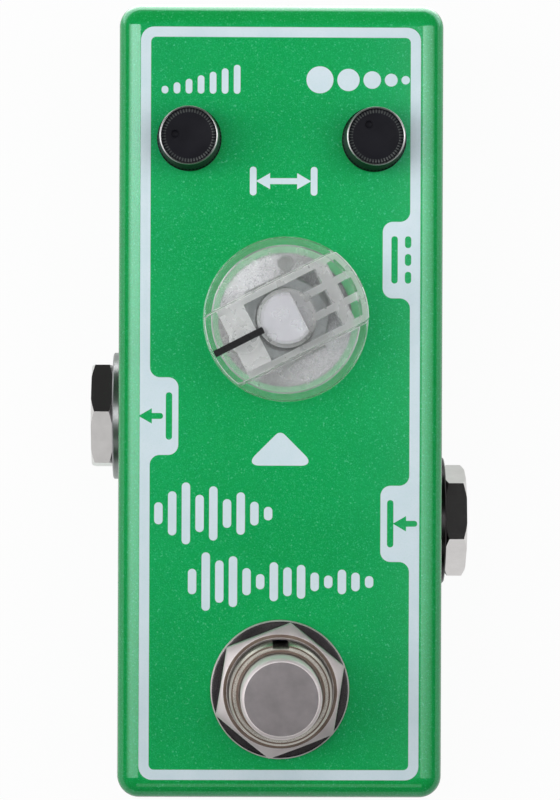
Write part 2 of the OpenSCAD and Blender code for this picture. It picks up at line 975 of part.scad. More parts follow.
module footswitch_spring() {
    echo(spring_self_gap = spring_self_gap);
    points = [for (i = [0 : spring_rings], k = [0 : wire_sides - 1]) wire_point(i, k)];
    last = spring_rings * wire_sides;
    sides = [
        for (i = [0 : spring_rings - 1], k = [0 : wire_sides - 1])
            let (a = i * wire_sides + k, b = i * wire_sides + (k + 1) % wire_sides)
            each [[a, b, b + wire_sides], [a, b + wire_sides, a + wire_sides]]
    ];
    start_cap = [for (k = [1 : wire_sides - 2]) [0, k + 1, k]];
    end_cap = [for (k = [1 : wire_sides - 2]) [last, last + k, last + k + 1]];
    color(bright_metal)
        at_switch(0)
            polyhedron(points, concat(sides, start_cap, end_cap));
}

// Terminal blades under the switch, and the length that passes the board
blade_w = 2;
blade_t = 0.8;
blade_pitch = 5;
blade_stand = 2;
blade_end = 0.8;

module blades(clearance) {
    blade_l = blade_stand + board_t + blade_end;
    w = blade_w + 2 * clearance;
    t = blade_t + 2 * clearance;
    for (i = [-1 : 1], j = [-1 : 1])
        translate([i * blade_pitch - w / 2, j * blade_pitch - t / 2, -blade_l])
            cube([w, t, blade_l]);
}

module footswitch_terminals() {
    color(copper_alloy)
        at_switch(case_z)
            blades(0);
}

switch_board_top_z = case_z - blade_stand;
// Wires of the flat cable between the boards
link_d = 1.2;
link_pitch = 1.1;
link_ways = 9;
link_y = board_y_min + link_d / 2 + pass;

module switch_board() {
    low_y = switch_y - switch_case_w / 2;
    color(board_green)
        difference() {
            translate([-switch_board_w / 2, low_y, switch_board_top_z - board_t])
                cube([switch_board_w, link_y + link_d - low_y, board_t]);
            at_switch(case_z)
                blades(pass / 2);
        }
}

// Flat cable that stands between the two boards
module board_link() {
    color([0.6, 0.6, 0.62])
        for (i = [0 : link_ways - 1])
            translate([(i - (link_ways - 1) / 2) * link_pitch, link_y, switch_board_top_z])
                cylinder(d = link_d, h = board_z - switch_board_top_z);
}

// Jacks and power socket

// Contact leaves: width, thickness, length, gap to the plug's bore, and distance behind the wall
leaf_w = 2.4;
leaf_t = 0.4;
leaf_l = 10;
leaf_gap = 0.3;
leaf_from = 8;
// How far a jack's bush ends inside its nut
bush_recess = 0.2;

// A contact leaf beside a bore, with a leg up to the board; up is the board's side in local X
module contact_leaf(up, bore_d, reach, from) {
    leaf_x = bore_d / 2 + leaf_gap;
    mirror([up < 0 ? 1 : 0, 0, 0])
        translate([leaf_x, -leaf_w / 2, -from - leaf_l]) {
            cube([leaf_t, leaf_w, leaf_l]);
            cube([reach - leaf_x, leaf_w, leaf_t]);
        }
}

module contact_slot(up, reach, from) {
    mirror([up < 0 ? 1 : 0, 0, 0])
        translate([0, -leaf_w / 2 - pass, -from - leaf_l - pass])
            cube([reach + past, leaf_w + 2 * pass, leaf_l + 2 * pass]);
}

module jack_body(side, y) {
    bore_l = jack_l - jack_end_t;
    color(black_plastic)
        in_wall(side, y, jack_z)
            difference() {
                translate([-jack_w / 2, -jack_w / 2, -jack_l])
                    cube([jack_w, jack_w, jack_l]);
                translate([0, 0, -bore_l])
                    cylinder(d = jack_bore_d, h = bore_l + past);
                contact_slot(-side, jack_w / 2, leaf_from);
            }
}

module jack_bush(side, y) {
    color(bright_metal)
        in_wall(side, y, jack_z)
            ring(jack_bush_d / 2, jack_bore_d / 2, wall + jack_washer_t + jack_nut_h - bush_recess);
}

module jack_washer(side, y) {
    color(bright_metal)
        in_wall(side, y, jack_z)
            translate([0, 0, wall])
                ring(jack_washer_d / 2, jack_bush_d / 2 + pass, jack_washer_t);
}

module jack_nut(side, y, turn) {
    color(bright_metal)
        in_wall(side, y, jack_z)
            translate([0, 0, wall + jack_washer_t])
                hex_nut(jack_nut_af, jack_nut_h, jack_bush_d + 2 * fit, turn, jack_nut_chamfer);
}

module jack_contacts(side, y) {
    color(copper_alloy)
        in_wall(side, y, jack_z)
            contact_leaf(-side, jack_bore_d, jack_w / 2, leaf_from);
}

module output_jack_body() {
    jack_body(-1, output_y);
}

module output_jack_bush() {
    jack_bush(-1, output_y);
}

module output_jack_washer() {
    jack_washer(-1, output_y);
}

module output_jack_nut() {
    jack_nut(-1, output_y, output_nut_turn);
}

module output_jack_contacts() {
    jack_contacts(-1, output_y);
}

module input_jack_body() {
    jack_body(1, input_y);
}

module input_jack_bush() {
    jack_bush(1, input_y);
}

module input_jack_washer() {
    jack_washer(1, input_y);
}

module input_jack_nut() {
    jack_nut(1, input_y, input_nut_turn);
}

module input_jack_contacts() {
    jack_contacts(1, input_y);
}

// The power contact's distance behind the wall, and how far the pin ends inside the socket
power_leaf_from = 1.5;
power_pin_recess = 1;

module power_socket_body() {
    color(black_plastic)
        in_wall(1, power_y, power_z)
            difference() {
                union() {
                    translate([-power_drop, -power_w / 2, -power_l])
                        cube([power_h, power_w, power_l]);
                    cylinder(d = power_nose_d, h = wall);
                }
                translate([0, 0, wall - power_depth])
                    cylinder(d = power_bore_d, h = power_depth + past);
                contact_slot(-1, power_drop, power_leaf_from);
            }
}

module power_socket_pin() {
    color(bright_metal)
        in_wall(1, power_y, power_z)
            translate([0, 0, wall - power_depth])
                cylinder(d = power_pin_d, h = power_depth - power_pin_recess);
}

module power_socket_contact() {
    color(copper_alloy)
        in_wall(1, power_y, power_z)
            contact_leaf(-1, power_bore_d, power_drop, power_leaf_from);
}

enclosure();
base_cover();
cover_screws();
rubber_feet();
main_board();
delay_chip();
amplifier_chip();
electrolytic_capacitors();
film_capacitors();
voltage_regulator();
status_led();
time_pot_body();
time_pot_bush();
time_pot_washer();
time_pot_nut();
time_pot_shaft();
time_knob();
time_pointer();
level_pot_body();
level_pot_shaft();
level_knob();
repeat_pot_body();
repeat_pot_shaft();
repeat_knob();
footswitch_case();
footswitch_bush();
footswitch_washer();
footswitch_nut();
footswitch_lock_nut();
footswitch_lock_washer();
footswitch_terminals();
footswitch_plunger();
footswitch_spring();
switch_board();
board_link();
output_jack_body();
output_jack_bush();
output_jack_washer();
output_jack_nut();
output_jack_contacts();
input_jack_body();
input_jack_bush();
input_jack_washer();
input_jack_nut();
input_jack_contacts();
power_socket_body();
power_socket_pin();
power_socket_contact();
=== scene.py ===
"""Looks of a small delay pedal: green cast box, clear time knob, two small knobs, footswitch and jacks."""

import math

import bpy
from mathutils import Matrix, Vector


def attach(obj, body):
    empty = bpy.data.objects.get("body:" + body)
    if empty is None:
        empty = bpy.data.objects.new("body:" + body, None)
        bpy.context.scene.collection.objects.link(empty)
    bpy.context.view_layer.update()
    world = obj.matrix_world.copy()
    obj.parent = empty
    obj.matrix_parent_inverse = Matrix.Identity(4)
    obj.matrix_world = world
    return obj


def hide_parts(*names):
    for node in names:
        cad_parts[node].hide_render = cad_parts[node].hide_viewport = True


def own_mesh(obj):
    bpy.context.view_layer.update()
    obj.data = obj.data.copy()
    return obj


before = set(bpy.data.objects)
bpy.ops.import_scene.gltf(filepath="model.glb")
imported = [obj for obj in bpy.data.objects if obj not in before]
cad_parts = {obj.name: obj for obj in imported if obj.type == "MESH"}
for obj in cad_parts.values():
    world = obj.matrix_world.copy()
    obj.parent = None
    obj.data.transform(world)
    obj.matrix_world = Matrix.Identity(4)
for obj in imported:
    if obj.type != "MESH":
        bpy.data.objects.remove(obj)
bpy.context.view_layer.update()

# Sizes are written in millimetres and made metres by this
MM = 0.001

# The cast body and its cover: heights, half sizes outside and inside, and corner radius
COVER_Z = 1.5
BODY_Z = 3.5
CEILING_Z = 30.3
PANEL_Z = 32.5
HALF_W = 19.25
HALF_L = 47.05
INNER_X = 17.25
INNER_Y = 45.05
CORNER_R = 2.6

# Corner posts with the cover screws, whose far sides are sunk into the walls, and feet
POST_X = 14.85
POST_Y = 42.65
POST_HALF = 3
POST_FAR_X = 17.85
POST_FAR_Y = 45.6
FOOT_X = 12.25
FOOT_Y = 33.55

# Signs of X and Y at the four corners
CORNERS = [(side, end) for side in (-1, 1) for end in (-1, 1)]

# Controls: places, heights, and the way each pointer faces in degrees from the input side
KNOB_Z = 33.0
TIME_X = 0.5
TIME_Y = 9.65
TIME_POINTS_TO = 207
LIGHT_Y = 16.25
SMALL_X = 10.9
SMALL_Y = 30.95
LEVEL_POINTS_TO = 174
REPEAT_POINTS_TO = 121.5
TIME_WASHER_TOP = 33.1
TIME_HOLE_R = 3.7
LIGHT_HOLE_R = 0.9
SMALL_HOLE_R = 2.4

# Clear knob, above its underside
GRIP_HALF_W = 4.7
GRIP_TOP = 10.3
HOLLOW_R = 8.75
HOLLOW_HALF_W = 3.6
HOLLOW_END = 6.9
SOCKET_ROOF = 8.76

# Small knobs: facets round the side, two to each rib, and the floor of the dished top
KNOB_SIDES = 108
DISH_Z = 5.55

# Footswitch and its return spring
SWITCH_Y = -34.0
SWITCH_HOLE_R = 6.2
SWITCH_WASHER_TOP = 33.3
PLUNGER_TOP = 46.095
CASE_FLOOR_Z = 16.5
SPRING_R = 4.2
SPRING_WIRE_R = 0.4
SPRING_TURNS = 4
SPRING_RISE = 8.55
SPRING_PLAY = 0.05

# Jacks and power socket
JACK_Z = 16.2
JACK_HOLE_R = 4.7
OUTPUT_Y = -1.85
INPUT_Y = -14.55
POWER_Y = 16.8
POWER_Z = 15.9
POWER_HOLE_R = 4.4

# Thickness of the print, and half the height of the shapes that cut it
INK_T = 0.03
INK_CUT = 0.5

# The parts of a noise's range that clouds and fine hairs use
CLOUDS = (0.3, 0.7)
HAIRS = (0.25, 0.75)


# Camera, lamps and backdrop

def facing(spot, aim, upward):
    """How a camera or lamp is turned to look from a spot at its aim."""
    back = (spot - aim).normalized()
    right = upward.cross(back).normalized()
    return Matrix((right, back.cross(right), back)).transposed().to_euler()


def set_camera():
    """Looks straight down from 400 mm above the panel, a little to the output side."""
    lens = bpy.data.cameras.new("overhead_lens")
    lens.sensor_fit = "VERTICAL"
    lens.sensor_height = 36
    lens.lens = 152.3
    lens.clip_start = 0.01
    lens.clip_end = 20
    camera = bpy.data.objects.new("overhead_camera", lens)
    bpy.context.scene.collection.objects.link(camera)
    spot = Vector((-6.157, 0.75, 432.5)) * MM
    aim = Vector((-0.087, 0.185, PANEL_Z)) * MM
    roll = math.radians(0.21)
    camera.location = spot
    camera.rotation_euler = facing(spot, aim, Vector((-math.sin(roll), math.cos(roll), 0)))
    bpy.context.scene.camera = camera


def soft_lamp(name, at, width, length, brightness, aim=(0, 0, PANEL_Z * MM)):
    """Hangs a rectangular soft lamp, its length along the pedal, that faces its aim; all in metres."""
    lamp = bpy.data.lights.new(name, "AREA")
    lamp.shape = "RECTANGLE"
    lamp.size = width
    lamp.size_y = length
    lamp.energy = brightness * math.pi * width * length
    holder = bpy.data.objects.new(name, lamp)
    bpy.context.scene.collection.objects.link(holder)
    holder.location = at
    holder.rotation_euler = facing(Vector(at), Vector(aim), Vector((0, 1, 0.001)))
    holder.visible_camera = False
    return holder


def grade_lamp(holder, across, along, edge):
    """Lets a lamp fade; each fade is (from, to, share at from, share at to) in metres along X, Y and X."""
    lamp = holder.data
    lamp.use_nodes = True
    tree = lamp.node_tree
    spot = tree.nodes.new("ShaderNodeNewGeometry")
    split = tree.nodes.new("ShaderNodeSeparateXYZ")
    tree.links.new(spot.outputs["Position"], split.inputs["Vector"])
    across_share = spread(tree, split.outputs["X"], *across)
    along_share = spread(tree, split.outputs["Y"], *along)
    edge_share = spread(tree, split.outputs["X"], *edge)
    both = worked_out(tree, "MULTIPLY", across_share, along_share)
    faded = worked_out(tree, "MULTIPLY", both, edge_share)
    tree.links.new(faded, tree.nodes["Emission"].inputs["Strength"])


def hang_lamps():
    """A large soft lamp on each side, one beyond the footswitch end, a fill and a lit card on the floor."""
    side_x = 0.28
    side_z = 0.385
    side_size = (0.58, 0.24)
    left = soft_lamp("left_lamp", (-side_x, 0, side_z), *side_size, brightness=1)
    grade_lamp(left, across=(-0.5, -0.05, 3.5, 3.2), along=(-0.1, 0.1, 0.52, 1.5),
               edge=(-0.515, -0.34, 0, 1))
    right = soft_lamp("right_lamp", (side_x, 0, side_z), *side_size, brightness=1)
    grade_lamp(right, across=(0.05, 0.5, 3.2, 0.5), along=(-0.1, 0.1, 0.55, 1.3),
               edge=(0.42, 0.57, 1, 0))
    soft_lamp("front_lamp", (0, -0.4, 0.33), width=0.2, length=0.15, brightness=0.58)
    fill = soft_lamp("fill_lamp", (0.006, 0.035, 0.12), width=0.08, length=0.08, brightness=1.5)
    fill.visible_glossy = False
    fill.visible_transmission = False
    card_y = 0.21
    soft_lamp("end_card", (0, card_y, 0.002), width=0.3, length=0.3, brightness=2.2, aim=(0, card_y, 1))


def light_world():
    """A dim even room that is white where it is seen directly."""
    world = bpy.data.worlds.new("white_room")
    bpy.context.scene.world = world
    world.use_nodes = True
    tree = world.node_tree
    path = tree.nodes.new("ShaderNodeLightPath")
    tree.nodes["Background"].inputs["Color"].default_value = (1, 1, 1, 1)
    room_glow = 0.03
    seen = spread(tree, path.outputs["Is Camera Ray"], 0, 1, room_glow, 1)
    tree.links.new(seen, tree.nodes["Background"].inputs["Strength"])


def lay_floor():
    """A white floor just under the feet that keeps the pedal's soft shadow."""
    seen_glow = 0.955
    mirrored_glow = 0.48
    bpy.ops.object.select_all(action="DESELECT")
    bpy.ops.mesh.primitive_plane_add(size=6, location=(0, 0, -0.0002))
    floor = bpy.context.object
    floor.name = "studio_floor"
    paper, tree, shader = new_material("white_paper")
    shader.inputs["Base Color"].default_value = (0.88, 0.88, 0.88, 1)
    shader.inputs["Roughness"].default_value = 0.9
    shader.inputs["Specular IOR Level"].default_value = 0
    glow = tree.nodes.new("ShaderNodeEmission")
    path = tree.nodes.new("ShaderNodeLightPath")
    seen = spread(tree, path.outputs["Is Camera Ray"], 0, 1, 0, seen_glow)
    mirrored = spread(tree, path.outputs["Is Glossy Ray"], 0, 1, 0, mirrored_glow)
    share = worked_out(tree, "MAXIMUM", seen, mirrored)
    show_mix(tree, share, shader.outputs["BSDF"], glow.outputs["Emission"])
    floor.data.materials.append(paper)


# Materials

def new_material(name):
    """A material, its node tree and its main shader."""
    material = bpy.data.materials.new(name)
    material.use_nodes = True
    return material, material.node_tree, material.node_tree.nodes["Principled BSDF"]


def noise(tree, size, stretch=(1, 1, 1), detail=3):
    """Noise on Object coordinates; size is the patches' width in millimetres."""
    coords = tree.nodes.new("ShaderNodeTexCoord")
    mapping = tree.nodes.new("ShaderNodeMapping")
    mapping.inputs["Scale"].default_value = stretch
    texture = tree.nodes.new("ShaderNodeTexNoise")
    texture.inputs["Scale"].default_value = 1 / (size * MM)
    texture.inputs["Detail"].default_value = detail
    tree.links.new(coords.outputs["Object"], mapping.inputs["Vector"])
    tree.links.new(mapping.outputs["Vector"], texture.inputs["Vector"])
    return texture.outputs["Fac"]


def flecks(tree, size):
    """Cells of the given width in millimetres, each with a random shade."""
    coords = tree.nodes.new("ShaderNodeTexCoord")
    cells = tree.nodes.new("ShaderNodeTexVoronoi")
    cells.inputs["Scale"].default_value = 1 / (size * MM)
    split = tree.nodes.new("ShaderNodeSeparateColor")
    tree.links.new(coords.outputs["Object"], cells.inputs["Vector"])
    tree.links.new(cells.outputs["Color"], split.inputs["Color"])
    return split


def spread(tree, source, low, high, to_low, to_high):
    """Maps a value from one range to another and holds it there."""
    node = tree.nodes.new("ShaderNodeMapRange")
    node.inputs["From Min"].default_value = low
    node.inputs["From Max"].default_value = high
    node.inputs["To Min"].default_value = to_low
    node.inputs["To Max"].default_value = to_high
    tree.links.new(source, node.inputs["Value"])
    return node.outputs["Result"]


def worked_out(tree, operation, *values):
    """Result of a Math node on values, each of them a number or a socket."""
    node = tree.nodes.new("ShaderNodeMath")
    node.operation = operation
    for socket, value in zip(node.inputs, values):
        if isinstance(value, (int, float)):
            socket.default_value = value
        else:
            tree.links.new(value, socket)
    return node.outputs["Value"]


def mix_colours(tree, share, first, second):
    """Mixes two colours, either of them a colour or a socket."""
    node = tree.nodes.new("ShaderNodeMix")
    node.data_type = "RGBA"
    tree.links.new(share, node.inputs["Factor"])
    for socket, colour in (("A", first), ("B", second)):
        target = [s for s in node.inputs if s.name == socket and s.type == "RGBA"][0]
        if isinstance(colour, tuple):
            target.default_value = (*colour, 1)
        else:
            tree.links.new(colour, target)
    return [s for s in node.outputs if s.type == "RGBA"][0]


def show_mix(tree, share, first, second):
    """Shows a mix of two shaders as the material's surface."""
    mix = tree.nodes.new("ShaderNodeMixShader")
    tree.links.new(share, mix.inputs["Fac"])
    tree.links.new(first, mix.inputs[1])
    tree.links.new(second, mix.inputs[2])
    tree.links.new(mix.outputs["Shader"], tree.nodes["Material Output"].inputs["Surface"])


def dent(tree, shader, source, depth, strength):
    """Bumps the surface by a height in millimetres."""
    bump = tree.nodes.new("ShaderNodeBump")
    bump.inputs["Distance"].default_value = depth * MM
    bump.inputs["Strength"].default_value = strength
    tree.links.new(source, bump.inputs["Height"])
    tree.links.new(bump.outputs["Normal"], shader.inputs["Normal"])


def flake_paint():
    """Green metallic lacquer: fine flakes under a clear gloss coat that is thickest at the knob end."""
    material, tree, shader = new_material("green_flake_lacquer")
    patches = spread(tree, noise(tree, 9), *CLOUDS, 0, 1)
    green = mix_colours(tree, patches, (0.0055, 0.36, 0.068), (0.007, 0.4, 0.08))
    fine = flecks(tree, 0.1)
    coarse = flecks(tree, 0.17)
    dark = spread(tree, fine.outputs["Green"], 0.5, 1, 0, 0.5)
    green = mix_colours(tree, dark, green, (0.003, 0.27, 0.05))
    bright = spread(tree, fine.outputs["Red"], 0.75, 1, 0, 0.4)
    green = mix_colours(tree, bright, green, (0.06, 0.58, 0.24))
    spark = spread(tree, coarse.outputs["Red"], 0.96, 1, 0, 0.3)
    green = mix_colours(tree, spark, green, (0.16, 0.7, 0.4))
    tree.links.new(green, shader.inputs["Base Color"])
    gloss = spread(tree, fine.outputs["Blue"], 0, 1, 0.12, 0.24)
    tree.links.new(gloss, shader.inputs["Roughness"])
    shader.inputs["Specular IOR Level"].default_value = 0.42
    shader.inputs["Specular Tint"].default_value = (0.02, 0.9, 1, 1)
    slant = tree.nodes.new("ShaderNodeLayerWeight")
    coords = tree.nodes.new("ShaderNodeTexCoord")
    along = tree.nodes.new("ShaderNodeSeparateXYZ")
    tree.links.new(coords.outputs["Object"], along.inputs["Vector"])
    facing_lens = spread(tree, slant.outputs["Facing"], 0.22, 0.5, 1, 0.12)
    knob_end = spread(tree, along.outputs["Y"], 45.9 * MM, 46.5 * MM, 0, 1)
    tree.links.new(worked_out(tree, "MAXIMUM", facing_lens, knob_end), shader.inputs["Coat Weight"])
    shader.inputs["Coat Roughness"].default_value = 0.08
    shader.inputs["Coat IOR"].default_value = 1.62
    dent(tree, shader, fine.outputs["Red"], 0.02, 0.3)
    return material


def screen_ink():
    """Pale, faintly blue screen-printed ink."""
    material, tree, shader = new_material("pale_screen_ink")
    patches = spread(tree, noise(tree, 4), *CLOUDS, 0, 1)
    tone = mix_colours(tree, patches, (0.6, 0.73, 0.79), (0.66, 0.77, 0.83))
    grain = flecks(tree, 0.14)
    thin_spots = spread(tree, grain.outputs["Red"], 0.6, 1, 0, 0.2)
    tone = mix_colours(tree, thin_spots, tone, (0.48, 0.68, 0.66))
    tree.links.new(tone, shader.inputs["Base Color"])
    tree.links.new(spread(tree, noise(tree, 0.6), *CLOUDS, 0.42, 0.58), shader.inputs["Roughness"])
    dent(tree, shader, noise(tree, 0.25), 0.01, 0.3)
    return material


def bright_metal(name, colour, shade, rough, scratches=0.12, metallic=1):
    """Plated or bare metal with cloudy polish and fine hairlines."""
    material, tree, shader = new_material(name)
    clouds = spread(tree, noise(tree, 2.2), *CLOUDS, 0, 1)
    tree.links.new(mix_colours(tree, clouds, colour, shade), shader.inputs["Base Color"])
    shader.inputs["Metallic"].default_value = metallic
    hairs = noise(tree, 0.12, stretch=(1, 14, 3), detail=5)
    tree.links.new(spread(tree, hairs, *HAIRS, rough * 0.7, rough * 1.4), shader.inputs["Roughness"])
    dent(tree, shader, hairs, 0.01, scratches)
    return material


def sheen_painted_metal(name, dark, light, rough, middle, painted_sheen_turn):
    """Metal whose colour holds a painted reflection: two bright lobes, opposite each other about a middle in
    millimetres, and painted light that makes one side lighter.
    """
    material, tree, shader = new_material(name)
    coords = tree.nodes.new("ShaderNodeTexCoord")
    mapping = tree.nodes.new("ShaderNodeMapping")
    mapping.vector_type = "TEXTURE"
    mapping.inputs["Location"].default_value = (middle[0] * MM, middle[1] * MM, 0)
    mapping.inputs["Rotation"].default_value = (0, 0, math.radians(painted_sheen_turn))
    sweep = tree.nodes.new("ShaderNodeTexGradient")
    sweep.gradient_type = "RADIAL"
    apart = tree.nodes.new("ShaderNodeSeparateXYZ")
    tree.links.new(coords.outputs["Object"], mapping.inputs["Vector"])
    tree.links.new(mapping.outputs["Vector"], sweep.inputs["Vector"])
    tree.links.new(mapping.outputs["Vector"], apart.inputs["Vector"])
    twice_round = worked_out(tree, "MULTIPLY", sweep.outputs["Fac"], 4 * math.pi)
    # Painted reflection: the bright lobes of a turned washer's sheen, put into the base colour
    painted_sheen_lobes = spread(tree, worked_out(tree, "COSINE", twice_round), -0.3, 1, 0, 1)
    # Painted light: one side lighter, as if lit from there
    painted_lit_side = spread(tree, apart.outputs["X"], -7 * MM, 7 * MM, 0.5, 1)
    share = worked_out(tree, "MULTIPLY", painted_sheen_lobes, painted_lit_side)
    tree.links.new(mix_colours(tree, share, dark, light), shader.inputs["Base Color"])
    shader.inputs["Metallic"].default_value = 1
    hairs = noise(tree, 0.2, detail=4)
    tree.links.new(spread(tree, hairs, *HAIRS, rough * 0.7, rough * 1.4), shader.inputs["Roughness"])
    dent(tree, shader, hairs, 0.01, 0.2)
    return material


def moulded(name, colour, shade, rough, grain=0.3, depth=0.01, bend=1.5):
    """Moulded plastic or rubber with a fine surface grain and uneven gloss."""
    material, tree, shader = new_material(name)
    shader.inputs["IOR"].default_value = bend
    clouds = spread(tree, noise(tree, 3), *CLOUDS, 0, 1)
    tree.links.new(mix_colours(tree, clouds, colour, shade), shader.inputs["Base Color"])
    skin = noise(tree, grain, detail=4)
    tree.links.new(spread(tree, skin, *HAIRS, rough * 0.8, rough * 1.2), shader.inputs["Roughness"])
    dent(tree, shader, skin, depth, 0.35)
    return material


def clear_acrylic(name, tint, rough, clearness, ripple=0.25):
    """Clear or milky moulded plastic that lets lamp light through to what is under it."""
    material, tree, shader = new_material(name)
    tinge = mix_colours(tree, noise(tree, 5), tint, (0.95, 0.97, 0.965))
    tree.links.new(tinge, shader.inputs["Base Color"])
    shader.inputs["Transmission Weight"].default_value = clearness
    shader.inputs["IOR"].default_value = 1.49
    ripples = noise(tree, 1.6, detail=2)
    tree.links.new(spread(tree, ripples, *CLOUDS, rough * 0.6, rough * 1.6), shader.inputs["Roughness"])
    dent(tree, shader, ripples, 0.02, ripple)
    clear = tree.nodes.new("ShaderNodeBsdfTransparent")
    clear.inputs["Color"].default_value = (0.79, 0.8, 0.8, 1)
    path = tree.nodes.new("ShaderNodeLightPath")
    show_mix(tree, path.outputs["Is Shadow Ray"], shader.outputs["BSDF"], clear.outputs["BSDF"])
    return material


# Ways of working

def let_go():
    """Leaves edit mode and selects nothing."""
    if bpy.context.object is not None and bpy.context.object.mode != "OBJECT":
        bpy.ops.object.mode_set(mode="OBJECT")
    bpy.ops.object.select_all(action="DESELECT")


def hold(piece):
    """Selects one piece alone."""
    let_go()
    piece.select_set(True)
    bpy.context.view_layer.objects.active = piece


def turned(name, outline, sides=96, bored=False):
    """Lathes an outline of (radius, height) round the upright axis; a bored one closes on itself."""
    let_go()
    r, z = outline[0]
    ends = "NOTHING" if bored else "NGON"
    start = (0, 0, z * MM)
    bpy.ops.mesh.primitive_circle_add(vertices=sides, radius=r * MM, fill_type=ends, location=start)
    piece = bpy.context.object
    piece.name = name
    bpy.ops.object.transform_apply(location=True, rotation=True, scale=True)
    bpy.ops.object.mode_set(mode="EDIT")
    bpy.ops.mesh.select_all(action="SELECT")
    steps = list(outline[1:])
    if bored:
        steps.append(outline[0])
    for next_r, next_z in steps:
        bpy.ops.mesh.extrude_region_move(TRANSFORM_OT_translate={"value": (0, 0, (next_z - z) * MM)})
        grow = next_r / r
        bpy.ops.transform.resize(value=(grow, grow, 1), center_override=(0, 0, next_z * MM))
        r, z = next_r, next_z
    bpy.ops.mesh.select_all(action="SELECT")
    bpy.ops.mesh.remove_doubles(threshold=1e-7)
    bpy.ops.mesh.normals_make_consistent(inside=False)
    bpy.ops.object.mode_set(mode="OBJECT")
    return piece


def block(name, low, high):
    """A block between two corners."""
    let_go()
    middle = [(a + b) / 2 * MM for a, b in zip(low, high)]
    size = [(b - a) * MM for a, b in zip(low, high)]
    bpy.ops.mesh.primitive_cube_add(size=1, location=middle)
    piece = bpy.context.object
    piece.name = name
    piece.scale = size
    bpy.ops.object.transform_apply(location=True, rotation=True, scale=True)
    return piece


def place(piece, spot=(0, 0, 0), turn=(0, 0, 0)):
    """Turns a piece about the origin, in degrees, then moves it, and keeps that in its mesh."""
    hold(piece)
    piece.rotation_euler = [math.radians(a) for a in turn]
    piece.location = [c * MM for c in spot]
    bpy.ops.object.transform_apply(location=True, rotation=True, scale=True)
    return piece


def joined(pieces, name):
    """Joins pieces into the first one."""
    hold(pieces[0])
    for piece in pieces:
        piece.select_set(True)
    bpy.ops.object.join()
    pieces[0].name = name
    return pieces[0]


def combine(piece, other, way="DIFFERENCE"):
    """Cuts another shape out of a piece, adds it, or keeps what they share."""
    hold(piece)
    tool = piece.modifiers.new("shape", "BOOLEAN")
    tool.operation = way
    tool.solver = "EXACT"
    tool.object = other
    bpy.ops.object.modifier_apply(modifier=tool.name)
    bpy.data.objects.remove(other, do_unlink=True)
    return piece


def pick_edges(piece, wanted):
    """Enters edit mode with the edges selected whose two ends pass the test."""
    hold(piece)
    bpy.ops.object.mode_set(mode="EDIT")
    bpy.ops.mesh.select_mode(type="EDGE")
    bpy.ops.mesh.select_all(action="DESELECT")
    bpy.ops.object.mode_set(mode="OBJECT")
    points = piece.data.vertices
    for edge in piece.data.edges:
        a, b = edge.vertices
        edge.select = wanted(points[a].co / MM, points[b].co / MM)
    bpy.ops.object.mode_set(mode="EDIT")


def round_edges(piece, wanted, radius, segments):
    """Rounds the chosen edges."""
    pick_edges(piece, wanted)
    bpy.ops.mesh.bevel(offset=radius * MM, segments=segments, affect="EDGES", clamp_overlap=True)
    bpy.ops.object.mode_set(mode="OBJECT")
    return piece


def soften(piece, width, angle=34):
    """Breaks every sharp edge by a small round."""
    hold(piece)
    tool = piece.modifiers.new("broken_edge", "BEVEL")
    tool.width = width * MM
    tool.segments = 2
    tool.limit_method = "ANGLE"
    tool.angle_limit = math.radians(angle)
    tool.use_clamp_overlap = True
    bpy.ops.object.modifier_apply(modifier=tool.name)
    return piece


def polish(piece, angle=40):
    """Smooth shading that leaves flat faces flat."""
    hold(piece)
    bpy.ops.object.shade_smooth_by_angle(angle=math.radians(angle))
    tool = piece.modifiers.new("flat_faces", "WEIGHTED_NORMAL")
    tool.keep_sharp = True
    tool.weight = 80
    bpy.ops.object.modifier_apply(modifier=tool.name)
    return piece


def finish_piece(piece, name, body, material, nodes=()):
    """Names a piece and gives it its material, its body and the CAD nodes that it stands for."""
    let_go()
    piece.name = name
    piece.data.name = name
    if not piece.data.materials:
        piece.data.materials.append(material)
    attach(piece, body)
    if nodes:
        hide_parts(*nodes)
    return piece


def two_tone(piece, first, second, wanted):
    """Gives the second material to the faces whose middle and normal pass the test."""
    piece.data.materials.clear()
    piece.data.materials.append(first)
    piece.data.materials.append(second)
    for face in piece.data.polygons:
        face.material_index = 1 if wanted(face.center / MM, face.normal) else 0
    return piece


def third_tone(piece, material, wanted):
    """Adds one more material for the faces that pass the test."""
    piece.data.materials.append(material)
    for face in piece.data.polygons:
        if wanted(face.center / MM, face.normal):
            face.material_index = 2


def score(piece, spot, across):
    """Cuts a line round a piece on a plane, without parting it."""
    hold(piece)
    bpy.ops.object.mode_set(mode="EDIT")
    bpy.ops.mesh.select_all(action="SELECT")
    bpy.ops.mesh.bisect(plane_co=[v * MM for v in spot], plane_no=across)
    bpy.ops.object.mode_set(mode="OBJECT")


def own_copy(piece, name):
    """A copy with its own mesh."""
    twin = piece.copy()
    twin.data = piece.data.copy()
    twin.name = name
    bpy.context.scene.collection.objects.link(twin)
    return twin


def at_corners(model, x, y, name, material, node, turn=0, turn_step=0):
    """Sets a copy of a model at each corner, each turned a step further than the last."""
    for i, (side, end) in enumerate(CORNERS):
        one = own_copy(model, name)
        place(one, (side * x, end * y, 0), (0, 0, turn + turn_step * i))
        finish_piece(one, f"{name}_{i + 1}", "housing", material, [node])
    bpy.data.objects.remove(model, do_unlink=True)


